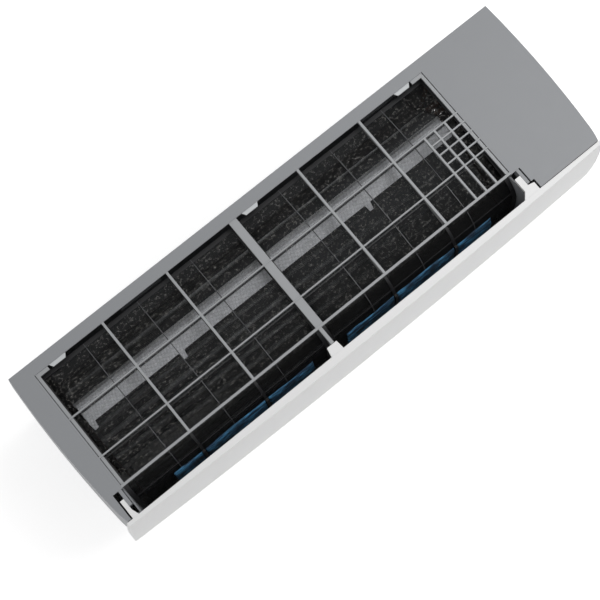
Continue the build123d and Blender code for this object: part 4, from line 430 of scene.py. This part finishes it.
glass_epoxy = blank_material("glass_epoxy_lacquered_green")
fields = {
    "Vector": add_node(glass_epoxy, "TexCoord", {}, "Object"), "Scale": 0.5 / (TRACK_FIELD * MM),
    "Color1": linear("1F5A33"), "Color2": linear("1B4E2D"), "Mortar": linear("2F7A48"),
    "Mortar Size": 0.03,
}
board_colour = add_node(glass_epoxy, "TexBrick", fields, "Color")
track_height = relief(glass_epoxy, add_node(glass_epoxy, "TexBrick", fields, "Fac"), 0.03)
finish(glass_epoxy, board_colour, 0.4, track_height, IOR=1.55)
print("board fields drawn at", TRACK_FIELD, "mm")

# %% [markdown]
# ## Zinc-coated sheet
#
# The ridge plate over the coil is zinc-coated steel. Years of air have given the zinc a whitish
# bloom, so it reads more like pale paint than like bare metal, and the coat's crystals, about
# 6 mm wide, show as faint patches. Its groove carries painted shade: the sheet's colour turns
# near black where little of the sky above it is open within 6 mm.

# %% Zinc-coated sheet
CRYSTAL_SIZE = 6.2
SHADE_REACH = 6.0
OPEN_SHARE = (0.6, 0.92)  # of the sky, where the painted shade is full and where it ends

zinc = blank_material("steel_zinc_coated")
cells = {
    "Vector": add_node(zinc, "TexCoord", {}, "Object"), "Scale": 1 / (CRYSTAL_SIZE * MM),
}
crystals = add_node(zinc, "RGBToBW", {0: add_node(zinc, "TexVoronoi", cells, "Color")})
coat = {FACTOR: crystals, TONE_A: linear("BCBEC2"), TONE_B: linear("D2D4D8")}
zinc_tone = add_node(zinc, "Mix", coat, MIXED, data_type="RGBA")
open_sky = add_node(
    zinc, "AmbientOcclusion", {"Distance": SHADE_REACH * MM}, "AO", samples=8, only_local=True,
)
# Painted shade: the groove turns near black where little of the sky above it is open.
groove_shade = {FACTOR: ramp(zinc, open_sky, *OPEN_SHARE), TONE_A: linear("0E0E10"), TONE_B: zinc_tone}
sheet_colour = add_node(zinc, "Mix", groove_shade, MIXED, data_type="RGBA")
sheet_rough = add_node(zinc, "Math", {0: crystals, 1: 0.15, 2: 0.42}, operation="MULTIPLY_ADD")
sheet_normal = relief(zinc, speckle(zinc, 1.4), 0.005, SHEET_EDGE)
finish(zinc, sheet_colour, sheet_rough, sheet_normal, Metallic=0.1)
print("crystals of the zinc coat:", CRYSTAL_SIZE, "mm")

# %% [markdown]
# ## Bare metals
#
# Copper tube is drawn, so its marks run lengthwise; it is dull here from the heat of brazing. The
# bends and end plates get a much darker copy of it as painted shade, for where they sit in shade
# at the coil's ends. Brass nuts are turned and bright, shafts are ground steel with hair-fine
# marks, and the bush is sintered bronze, matt from its open pores. The marks could be a different
# texture for each, but one recipe draws them and lets a stretch lay them along the piece. They are
# drawn at about 1 mm, coarser than real ones, so that they show.

# %% Recipe for bare metal
MARK_SPREAD = 0.2
WORN = 0.78


def bare_metal(name, code, roughness, mark=1.1, stretch=EVEN):
    """Metal with marks a size in mm wide: dark marks have the colour times a worn share."""
    material = blank_material(name)
    marks = speckle(material, mark, 4.0, stretch)
    base = linear(code)
    tones = {FACTOR: marks, TONE_A: tuple(c * WORN for c in base[:3]) + (1.0,), TONE_B: base}
    colour = add_node(material, "Mix", tones, MIXED, data_type="RGBA")
    spread = {0: marks, 1: MARK_SPREAD, 2: roughness - MARK_SPREAD / 2}
    rough = add_node(material, "Math", spread, operation="MULTIPLY_ADD")
    normal = relief(material, marks, 0.01, SHEET_EDGE)
    return finish(material, colour, rough, normal, Metallic=1.0)


copper = bare_metal("copper_drawn", "6A4C3E", 0.75, stretch=(0.04, 1.0, 1.0))
# Painted shade: a much darker copy of the copper, for the bends and end plates.
copper_painted_shade = bare_metal("copper_darkened_as_shade", "2E2826", 0.8)
brass = bare_metal("brass_turned", "C9A758", 0.28, stretch=(0.2, 1.0, 1.0))
steel = bare_metal("steel_ground", "B8BABC", 0.25, mark=0.67)
bronze = bare_metal("bronze_sintered", "8E6B44", 0.5, mark=0.33)
print("metals:", *(made.name for made in (copper, copper_painted_shade, brass, steel, bronze)))

# %% [markdown]
# ## Fins and collars
#
# The fins are stamped from thin aluminium sheet with a dark coat, dusty in places. In front of
# the bend they are drawn nearly black. Where a tube passes through them each fin is drawn out to a
# bare aluminium collar, and the row of collars shows between the fins as a faint pale line along
# the unit. Collars could be modelled one by one, but a tube with the collars' surface gives the
# same line.

# %% Coated and bare aluminium
FIN_DARK_FRONT_LINE = (-0.196, -0.186)  # Y where the fins are fully dark and where the dusty tone is full, in metres

coated_fin = blank_material("aluminium_stamped_coated")
dust = {FACTOR: speckle(coated_fin, 11.0), TONE_A: linear("3E4042"), TONE_B: linear("585B5E")}
dusty = add_node(coated_fin, "Mix", dust, MIXED, data_type="RGBA")
level_part = ramp(coated_fin, place_along(coated_fin, "Y"), *FIN_DARK_FRONT_LINE)
# In front of the bend the fins are drawn nearly black.
dark_front = {FACTOR: level_part, TONE_A: linear("141415"), TONE_B: dusty}
fin_colour = add_node(coated_fin, "Mix", dark_front, MIXED, data_type="RGBA")
fin_dents = relief(coated_fin, speckle(coated_fin, 1.4), 0.02)
finish(coated_fin, fin_colour, 0.55, fin_dents, Metallic=0.3)
collar = blank_material("aluminium_drawn_dull")
tarnish = speckle(collar, 3.3, 4.0, (0.1, 1.0, 1.0))
collar_tones = {FACTOR: tarnish, TONE_A: linear("9C9EA0"), TONE_B: linear("E6E8EA")}
collar_colour = add_node(collar, "Mix", collar_tones, MIXED, data_type="RGBA")
finish(collar, collar_colour, 0.5, relief(collar, tarnish, 0.01), Metallic=0.3)
print("aluminium:", coated_fin.name, collar.name)

# %% [markdown]
# ## Polyester pads
#
# The strip on the filters is a pad of blue non-woven polyester. Its fibres lie mostly along it in
# tufts of 24 by 3.4 mm, coarser than the real ones so that they show, and it is darker where it is
# thin or dirty. Hair could be grown on it, but a stretched pattern with a relief is enough here.

# %% Blue polyester
polyester = blank_material("polyester_nonwoven_blue")
fibres = ramp(polyester, speckle(polyester, 24.0, 5.0, (1.0, 7.0, 7.0)), 0.40, 0.60)
tufts = {FACTOR: fibres, TONE_A: linear("123450"), TONE_B: linear("4E96C4")}
fibre_blue = add_node(polyester, "Mix", tufts, MIXED, data_type="RGBA")
patches = ramp(polyester, speckle(polyester, 22.0), 0.34, 0.58)
thin_places = {FACTOR: patches, TONE_A: linear("142C40"), TONE_B: fibre_blue}
blue = add_node(polyester, "Mix", thin_places, MIXED, data_type="RGBA")
finish(polyester, blue, 0.75, relief(polyester, fibres, 0.8), IOR=1.57)
print("pad:", polyester.name)

# %% [markdown]
# ## Nylon mesh
#
# The mesh is woven from black nylon thread, slightly shiny. Light specks are painted on its
# threads as glints, though not on the steep part in front. The specks are drawn at 3.2 mm, so
# that they show as a grain and not as an even grey.

# %% Black nylon
MESH_GLINT_LINE = (-0.203, -0.194)
SPECK_SIZE = 3.2

nylon = blank_material("nylon_woven_black")
level_part = ramp(nylon, place_along(nylon, "Y"), *MESH_GLINT_LINE)
# Painted glints: light specks on the threads of the level part only.
glint_parts = {0: ramp(nylon, speckle(nylon, SPECK_SIZE), 0.54, 0.68), 1: level_part}
specks = add_node(nylon, "Math", glint_parts, operation="MULTIPLY")
thread_tones = {FACTOR: specks, TONE_A: linear("0C0C0E"), TONE_B: linear("C2C0BC")}
thread_colour = add_node(nylon, "Mix", thread_tones, MIXED, data_type="RGBA")
finish(nylon, thread_colour, 0.5, relief(nylon, specks, 0.01), IOR=1.53)
print("mesh:", nylon.name, "with specks of", SPECK_SIZE, "mm")

# %% [markdown]
# ## Which piece has which surface
#
# Every solid gets its material by name. That could be done piece by piece, but one table shows
# them all at a glance. The filter sheets, the blue strips and the coil slabs are only stand-ins
# and are replaced further down, so their material here never shows.

# %% Materials of the solids
SURFACES = {
    abs_case: ("front_case", "hinge_seats", "terminal_cover"),
    abs_grille: ("intake_grille",),
    abs_catch: ("filter_catches",),
    abs_panel: ("front_panel", "main_louver", "auto_button"),
    polycarbonate: ("receiver_window",),
    polypropylene: ("filter_frame_left", "filter_frame_right"),
    polystyrene: ("rear_chassis", "drain_spigot", "motor_clamp"),
    foamed_pan: ("drain_pan",),
    glass_filled: ("cross_flow_fan", "left_link_bar", "right_link_bar"),
    pbt_box: ("control_box", "terminal_block"),
    cast_resin: ("fan_motor",),
    epdm: ("bearing_holder", "motor_rings"),
    glass_epoxy: ("control_board", "display_board"),
    zinc: ("coil_ridge_plate", "control_box_cover", "louver_motor"),
    copper: ("liquid_pipe", "gas_pipe"),
    copper_painted_shade: ("coil_bends", "coil_end_plates"),
    brass: ("flare_nuts",),
    steel: ("case_screws", "fan_journal", "motor_shaft", "hub_screw"),
    bronze: ("bearing_bush",),
    polyester: ("purifying_strip_left", "purifying_strip_right"),
}
by_name = {name: material for material, names in SURFACES.items() for name in names}
for name, piece in nodes.items():
    if "_vane_" in name:
        by_name[name] = glass_filled
    piece.data.materials.clear()
    piece.data.materials.append(by_name.get(name, coated_fin))
print("solids with a surface of their own:", len(by_name), "of", len(nodes))

# %% [markdown]
# ## The filters' curve
#
# A filter slides in from the front over guides that bend it. Seen from the side, in (Y, Z), it
# runs as an arc over the coil, turns down in a tighter arc and ends in a straight leg behind the
# front panel. A free curve could be drawn by hand, but the solids were made from arcs, and the
# same arcs keep the threads under the frame. Each arc is known by its two ends and by its
# heading at the first one: a chord that leaves at angle a to the heading belongs to an arc that
# turns by 2a in all, with radius R = chord / (2 sin a), and the point a share t of the way along
# lies 2 R sin(a t) from the start, at an angle a t to the heading.

# %% Filter line
TOP_Z = 147.0
CURVE_POINTS = (  # Y, and drop below the top
    (-21.0, 15.0), (-110.0, 8.5), (-186.0, 16.0), (-222.0, 52.0), (-226.5, 90.0),
)
CURVE_TAIL = 76.0


def arc_points(start, end, start_heading, count):
    """Points of the arc from start to end by its first heading in radians, and its last one."""
    chord = np.subtract(end, start)
    half_turn = math.atan2(chord[1], chord[0]) - start_heading
    half_turn = (half_turn + math.pi) % (2 * math.pi) - math.pi
    radius = np.hypot(*chord) / (2 * math.sin(half_turn))
    share = np.linspace(0.0, 1.0, count)
    reach = 2 * radius * np.sin(half_turn * share)
    angle = start_heading + half_turn * share
    points = np.asarray(start) + np.column_stack((reach * np.cos(angle), reach * np.sin(angle)))
    return points, start_heading + 2 * half_turn


def first_heading(a, b, c):
    """Heading at a of the circle through a, b and c: the chord a-c turned by the angle at b."""
    a, b, c = map(np.asarray, (a, b, c))
    chord = math.atan2(*(c - a)[::-1])
    at_b = math.atan2(*(a - b)[::-1]) - math.atan2(*(c - b)[::-1])
    inside = (at_b + math.pi) % (2 * math.pi) - math.pi
    return chord - math.copysign(math.pi - abs(inside), inside)


def filter_line(shift):
    """Even samples of the filter's line, moved outwards by a shift: points and outward normals."""
    rear, crest, shoulder, bend, knee = ((y, TOP_Z - drop) for y, drop in CURVE_POINTS)
    top, way = arc_points(rear, shoulder, first_heading(rear, crest, shoulder), 60)
    corner, way = arc_points(shoulder, bend, way, 40)
    front, way = arc_points(bend, knee, way, 20)
    down = np.array((math.cos(way), math.sin(way)))
    tail = knee + np.linspace(0.0, CURVE_TAIL, 20)[:, None] * down
    line = np.vstack((top, corner[1:], front[1:], tail[1:]))
    along = np.gradient(line, axis=0)
    along /= np.hypot(*along.T)[:, None]
    outward = np.column_stack((along[:, 1], -along[:, 0]))
    return line + shift * outward, outward


line = filter_line(0.0)[0]
run = np.concatenate(([0.0], np.cumsum(np.hypot(*np.diff(line, axis=0).T))))
print("length of a filter along its curve in mm:", round(run[-1], 1))

# %% [markdown]
# ## Filter mesh
#
# The real filter is a woven sheet, and its threads are what the eye catches. A picture of threads
# on a flat sheet would look right from one distance only, so each thread is modelled, thicker and
# wider apart than the real ones so that they show.
#
# Two families of threads cross at right angles and run at 45 degrees to the edges. On the
# flat sheet a thread of one family is the line u - s = c and one of the other is u + s = c, with u
# across the unit and s along the curve. Each thread is sampled at even steps of s and laid on the
# curve, with a three-sided section.

# %% Threads on the flat sheet
THREAD_PITCH = 1.8
SHORTEST_THREAD = 1.0


def flat_threads(u_low, u_high, lean):
    """Starts c of one family's lines u = c + lean s, and the ends of s where they stay inside."""
    length = run[-1]
    along_u = THREAD_PITCH * math.sqrt(2)
    if lean > 0:
        starts = np.arange(u_low - length, u_high, along_u)
        s_low, s_high = u_low - starts, u_high - starts
    else:
        starts = np.arange(u_low, u_high + length, along_u)
        s_low, s_high = starts - u_high, starts - u_low
    s_low, s_high = np.maximum(0.0, s_low), np.minimum(length, s_high)
    keep = s_high - s_low > SHORTEST_THREAD
    return starts[keep], s_low[keep], s_high[keep]


print("threads of one family over 300 mm:", len(flat_threads(0.0, 300.0, 1.0)[0]))

# %% [markdown]
# ## Threads on the curve
#
# A thread on the flat sheet has only a place u, s. Bending a mesh with a modifier would stretch
# it, so each point is looked up on the curve instead. Its section is a triangle, the fewest
# corners that still look round at this size, and one family lies a little over the other.

# %% Threads on the curve
THREAD_HALF_WIDTH = 0.14
THREAD_HEIGHT = 0.24
THREAD_STEPS = 28
THREAD_CORNERS = ((-1.0, 0.0), (1.0, 0.0), (0.0, THREAD_HEIGHT))  # half widths across, mm up
MESH_SHIFT = -1.1  # under the frame's line
FAMILY_OFFSET = 0.08


def lay_threads(starts, s_low, s_high, lean):
    """Corners of the threads: the place on the curve, plus across times the sideways direction,
    plus up times the outward normal, as an array by thread, step, corner and X, Y, Z in mm."""
    points, normals = filter_line(MESH_SHIFT)
    share = np.linspace(0.0, 1.0, THREAD_STEPS)
    s = s_low[:, None] + (s_high - s_low)[:, None] * share
    u = starts[:, None] + lean * s
    y, z = (np.interp(s, run, points[:, k]) for k in (0, 1))
    out_y, out_z = (np.interp(s, run, normals[:, k]) for k in (0, 1))
    rings = []
    for across, up in THREAD_CORNERS:
        side = across * THREAD_HALF_WIDTH / math.sqrt(2)
        lift = up + FAMILY_OFFSET * lean
        corner_y = y + lean * side * out_z + lift * out_y
        corner_z = z - lean * side * out_y + lift * out_z
        rings.append(np.stack((u + side, corner_y, corner_z), axis=-1))
    return np.stack(rings, axis=2)


def thread_faces(count, base):
    """Quads from ring to ring round each thread, and a triangle over each of its two ends."""
    thread = base + np.arange(count)[:, None, None] * THREAD_STEPS * 3
    ring = thread + np.arange(THREAD_STEPS - 1)[None, :, None] * 3
    corner = np.arange(3)[None, None, :]
    after = (corner + 1) % 3
    quads = np.stack((ring + corner, ring + after, ring + 3 + after, ring + 3 + corner), axis=-1)
    first = thread[:, :, 0] + np.array((2, 1, 0))
    last = first[:, ::-1] + (THREAD_STEPS - 1) * 3
    return quads.reshape(-1, 4), np.vstack((first, last))


print("corners in one thread:", THREAD_STEPS * len(THREAD_CORNERS))

# %% [markdown]
# ## Both meshes
#
# Each filter is drawn out on its own, so one sheet over both bays wouldn't do: each gets its own
# mesh, which rides with its frame when the frame slides. The threads end half a millimetre inside
# the stand-in's sides, under the frame's edge.

# %% Both meshes in place
THREAD_INSET = 0.5

for side in ("left", "right"):
    low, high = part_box(f"filter_mesh_{side}")
    u_ends = (low.x / MM + THREAD_INSET, high.x / MM - THREAD_INSET)
    families = [lay_threads(*flat_threads(*u_ends, lean), lean) for lean in (1.0, -1.0)]
    rising = thread_faces(len(families[0]), 0)
    falling = thread_faces(len(families[1]), families[0].size // 3)
    faces = [np.vstack(pair) for pair in zip(rising, falling)]
    points = np.vstack([family.reshape(-1, 3) for family in families]) * MM
    threads = make_mesh(f"threads_{side}", points, faces, nylon, f"{side}_filter")
    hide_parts(f"filter_mesh_{side}")
    print(side, "mesh threads:", len(faces[1]) // 2)

# %% [markdown]
# ## Blue strips
#
# Each filter carries a strip of fibres on its bend, in three lengths between the thick ribs. A
# plain block would look moulded, and hair by the strand would be heavy, so a length is a pad whose
# top is a height over the filter's curve. Over the flat place (x, t), with t from 0 to 1 across
# the pad and v from 0 to 1 along it, its height is (h - d w) sqrt(a b). Here h is the full height,
# d w a small wave for the fibres, a = 1 - |2t - 1|**4 rounds the sides and b = 1 - |2v - 1|**24
# rounds the ends over a short way. The rear edge wanders by a few cosines of x.

# %% Strips of fibre
STRIP_SHARES = (0.64, 0.77)  # of the filter's length, where the strip starts and ends
STRIP_WIDER = 2.5  # towards the rear, where its edge wanders
STRIP_BASE = 0.9
STRIP_HEIGHT = 3.4
STRIP_GRID = 0.8
STRIP_ROWS = 34
SIDE_POWER = 4
END_POWER = 24
PLEAT_PITCH = 2.6
PLEAT_DEPTH = 0.9
PLEAT_SLANT = 0.22
EDGE_WAVES = ((2.2, 23.0), (1.3, 11.0), (0.7, 5.3))  # amplitude and length/2pi in mm


def pad_points(x_low, x_high):
    """Grids of points on a pad's top and on its flat underside, by the height formula above."""
    x = np.linspace(x_low, x_high, int((x_high - x_low) / STRIP_GRID))
    v = (x - x_low) / (x_high - x_low)
    t = np.linspace(0.0, 1.0, STRIP_ROWS)
    wander = sum(a * (1 - np.cos(x / k + a)) / 2 for a, k in EDGE_WAVES)
    total = run[-1]
    low_s = STRIP_SHARES[0] * total - STRIP_WIDER + wander[:, None]
    s = low_s + (STRIP_SHARES[1] * total - low_s) * t
    ends = (1 - np.abs(2 * v - 1) ** END_POWER)[:, None]
    sides = 1 - np.abs(2 * t - 1)[None] ** SIDE_POWER
    wave = (1 + np.cos(2 * np.pi * (s + PLEAT_SLANT * x[:, None]) / PLEAT_PITCH)) / 2
    height = (STRIP_HEIGHT - PLEAT_DEPTH * wave) * np.sqrt(ends * sides)
    points, normals = filter_line(0.0)
    across = np.broadcast_to(x[:, None], s.shape)
    grids = []
    for lift in (STRIP_BASE + height, np.full_like(height, STRIP_BASE)):
        y, z = (
            np.interp(s, run, points[:, k]) + lift * np.interp(s, run, normals[:, k])
            for k in (0, 1)
        )
        grids.append(np.stack((across, y, z), axis=-1))
    return np.array(grids)


def pad_mesh(x_low, x_high):
    """Vertices in metres and quads of a pad, closed by the rim that its two sides share."""
    grids = pad_points(x_low, x_high)
    count, width = grids.shape[1:3]
    i = np.arange(count - 1)[:, None] * width
    j = np.arange(width - 1)[None]
    top = np.stack((i + j, i + j + 1, i + j + 1 + width, i + j + width), axis=-1).reshape(-1, 4)
    under = np.arange(count * width).reshape(count, width)
    under[1:-1, 1:-1] += count * width
    kept, quads = np.unique(np.vstack((top, under.ravel()[top[:, ::-1]])), return_inverse=True)
    return grids.reshape(-1, 3)[kept] * MM, quads.reshape(-1, 4)


print("rows across a pad:", STRIP_ROWS)

# %% [markdown]
# ## Both strips
#
# A strip is one piece of fabric, though the thick ribs press it into three lengths. Three pieces
# could stand for it, but one mesh of three lengths keeps it one piece, as it is on the real
# filter. The left strip stops short of its right end in the photograph, so its last length does.

# %% Both strips in place
THICK_RIB_OFFSET = 52.2
STRIP_CUT = 2.4  # half of a thick rib and its gap
STRIP_INSET = 0.3
STRIP_SHORTER = {"left": 19.0, "right": 0.0}  # at the strip's right end

for side in ("left", "right"):
    frame_low, frame_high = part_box(f"filter_frame_{side}")
    middle = (frame_low.x + frame_high.x) / 2 / MM
    low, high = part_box(f"purifying_strip_{side}")
    cuts = (middle - THICK_RIB_OFFSET, middle + THICK_RIB_OFFSET)
    places = (
        low.x / MM + STRIP_INSET, cuts[0] - STRIP_CUT, cuts[0] + STRIP_CUT,
        cuts[1] - STRIP_CUT, cuts[1] + STRIP_CUT, high.x / MM - STRIP_INSET - STRIP_SHORTER[side],
    )
    pads, quads, base = [], [], 0
    for x_low, x_high in zip(places[::2], places[1::2]):
        pad, pad_quads = pad_mesh(x_low, x_high)
        pads.append(pad)
        quads.append(pad_quads + base)
        base += len(pad)
    strip = make_mesh(
        f"strip_{side}", np.vstack(pads), [np.vstack(quads)], polyester, f"{side}_filter",
    )
    strip.data.shade_smooth()
    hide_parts(f"purifying_strip_{side}")
    print(side, "strip from", round(places[0]), "to", round(places[-1]), "mm")

# %% [markdown]
# ## Coil fins and tubes
#
# The heat exchanger is three slabs of thin fins on a regular pitch. An array modifier could repeat
# one fin, but a fin is only a flat plate in the cross section, so the whole stack is one set of
# box corners repeated along X. The real pitch of 1.5 mm is kept.

# %% Fin stack
FIN_PITCH = 1.5
FIN_THICK = 0.14
COIL_THICK = 22.0
COIL_ENDS = (-357.0, 258.0)
SLABS = {  # the ends of each slab's middle line, (Y, Z) in mm
    "coil_rear": ((-83.0, 112.2), (-31.0, 40.0)),
    "coil_front_upper": ((-99.0, 109.0), (-184.0, 66.0)),
    "coil_front_lower": ((-203.0, 54.0), (-203.0, -45.4)),
}
BOX_QUADS = np.array(
    ((0, 1, 2, 3), (7, 6, 5, 4), (0, 4, 5, 1), (1, 5, 6, 2), (2, 6, 7, 3), (3, 7, 4, 0))
)


def slab_axes(start, end):
    """Unit vectors along a slab and across it, in (Y, Z): the second is the first turned by 90."""
    along = np.subtract(end, start) / np.hypot(*np.subtract(end, start))
    return along, np.array((-along[1], along[0]))


def fin_stack(start, end):
    """Vertices and quads of one slab's fins: the slab's rectangle, which is its middle line half
    its thickness to both sides, repeated at every pitch along X."""
    half_way = slab_axes(start, end)[1] * COIL_THICK / 2
    outline = np.array((start - half_way, start + half_way, end + half_way, end - half_way))
    first = COIL_ENDS[0] + FIN_PITCH / 2
    x = np.arange(first, COIL_ENDS[1] - FIN_THICK, FIN_PITCH)
    count = len(x)
    corners = np.empty((count, 2, 4, 3))
    corners[..., 1:] = outline
    corners[:, 0, :, 0] = x[:, None] - FIN_THICK / 2
    corners[:, 1, :, 0] = x[:, None] + FIN_THICK / 2
    quads = (BOX_QUADS[None] + 8 * np.arange(count)[:, None, None]).reshape(-1, 4)
    return corners.reshape(-1, 3) * MM, [quads]


print("fins in a slab:", math.ceil((COIL_ENDS[1] - COIL_ENDS[0] - FIN_THICK) / FIN_PITCH - 0.5))

# %% [markdown]
# ## Tubes
#
# The tubes run through the fins along X, in an outer and an inner row, and the outer ones show
# between the fins. They could be curves with a bevel, but two circles joined by quads are the same
# tube with less to convert. Each is known by how far down the slab it lies and by how deep its
# axis is under the slab's outer face. The inner row is the same in every slab.

# %% Tubes and both stacks in place
TUBE_R = 3.5
TUBE_SIDES = 20
INNER_DEPTH = 16.5
TUBES = {  # how far down and how deep each one lies, in mm
    "coil_rear": ((3.9, 3.52), (46.0, 3.52), (62.0, 6.5), (80.0, 6.5)),
    "coil_front_upper": ((13.7, 8.6), (32.3, 7.0), (47.0, 8.0), (62.8, 7.8), (79.6, 8.0)),
    "coil_front_lower": ((10.0, 7.0), (29.0, 7.0), (48.0, 7.0), (67.0, 7.0), (86.0, 7.0)),
}
INNER_ROW = (20.0, 36.0, 53.0, 69.0, 83.0)


def tube_row(start, end, tubes, outer):
    """Vertices and faces of straight tubes along X. An axis lies down along the slab from its
    start and deep under its outer face, which is the +1 or -1 side of the slab's normal."""
    along, normal = slab_axes(start, end)
    down, deep = np.array(tubes).T
    places = start + down[:, None] * along + (COIL_THICK / 2 - deep[:, None]) * outer * normal
    angle = np.arange(TUBE_SIDES) * 2 * np.pi / TUBE_SIDES
    circle = TUBE_R * np.column_stack((np.cos(angle), np.sin(angle)))
    corners = np.empty((len(places), 2, TUBE_SIDES, 3))
    corners[..., 1:] = places[:, None, None, :] + circle
    corners[:, 0, :, 0], corners[:, 1, :, 0] = COIL_ENDS
    side = np.arange(TUBE_SIDES)
    after = (side + 1) % TUBE_SIDES
    ring = np.column_stack((side, after, after + TUBE_SIDES, side + TUBE_SIDES))
    each = 2 * TUBE_SIDES * np.arange(len(places))[:, None]
    quads = (ring[None] + each[:, :, None]).reshape(-1, 4)
    ends = np.vstack((side[::-1] + each, side + TUBE_SIDES + each))
    return corners.reshape(-1, 3) * MM, [quads, ends]


for name, (start, end) in SLABS.items():
    points, faces = fin_stack(start, end)
    slab = name.removeprefix("coil_")
    fins = make_mesh(f"fins_{slab}", points, faces, coated_fin, "unit")
    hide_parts(name)
    outer = 1.0 if end[0] > start[0] else -1.0
    places = TUBES[name] + tuple((down, INNER_DEPTH) for down in INNER_ROW)
    tube_points, tube_faces = tube_row(start, end, places, outer)
    tubes = make_mesh(f"tubes_{slab}", tube_points, tube_faces, collar, "unit")
    print(name, "fins:", len(points) // 8, "tubes:", len(places))
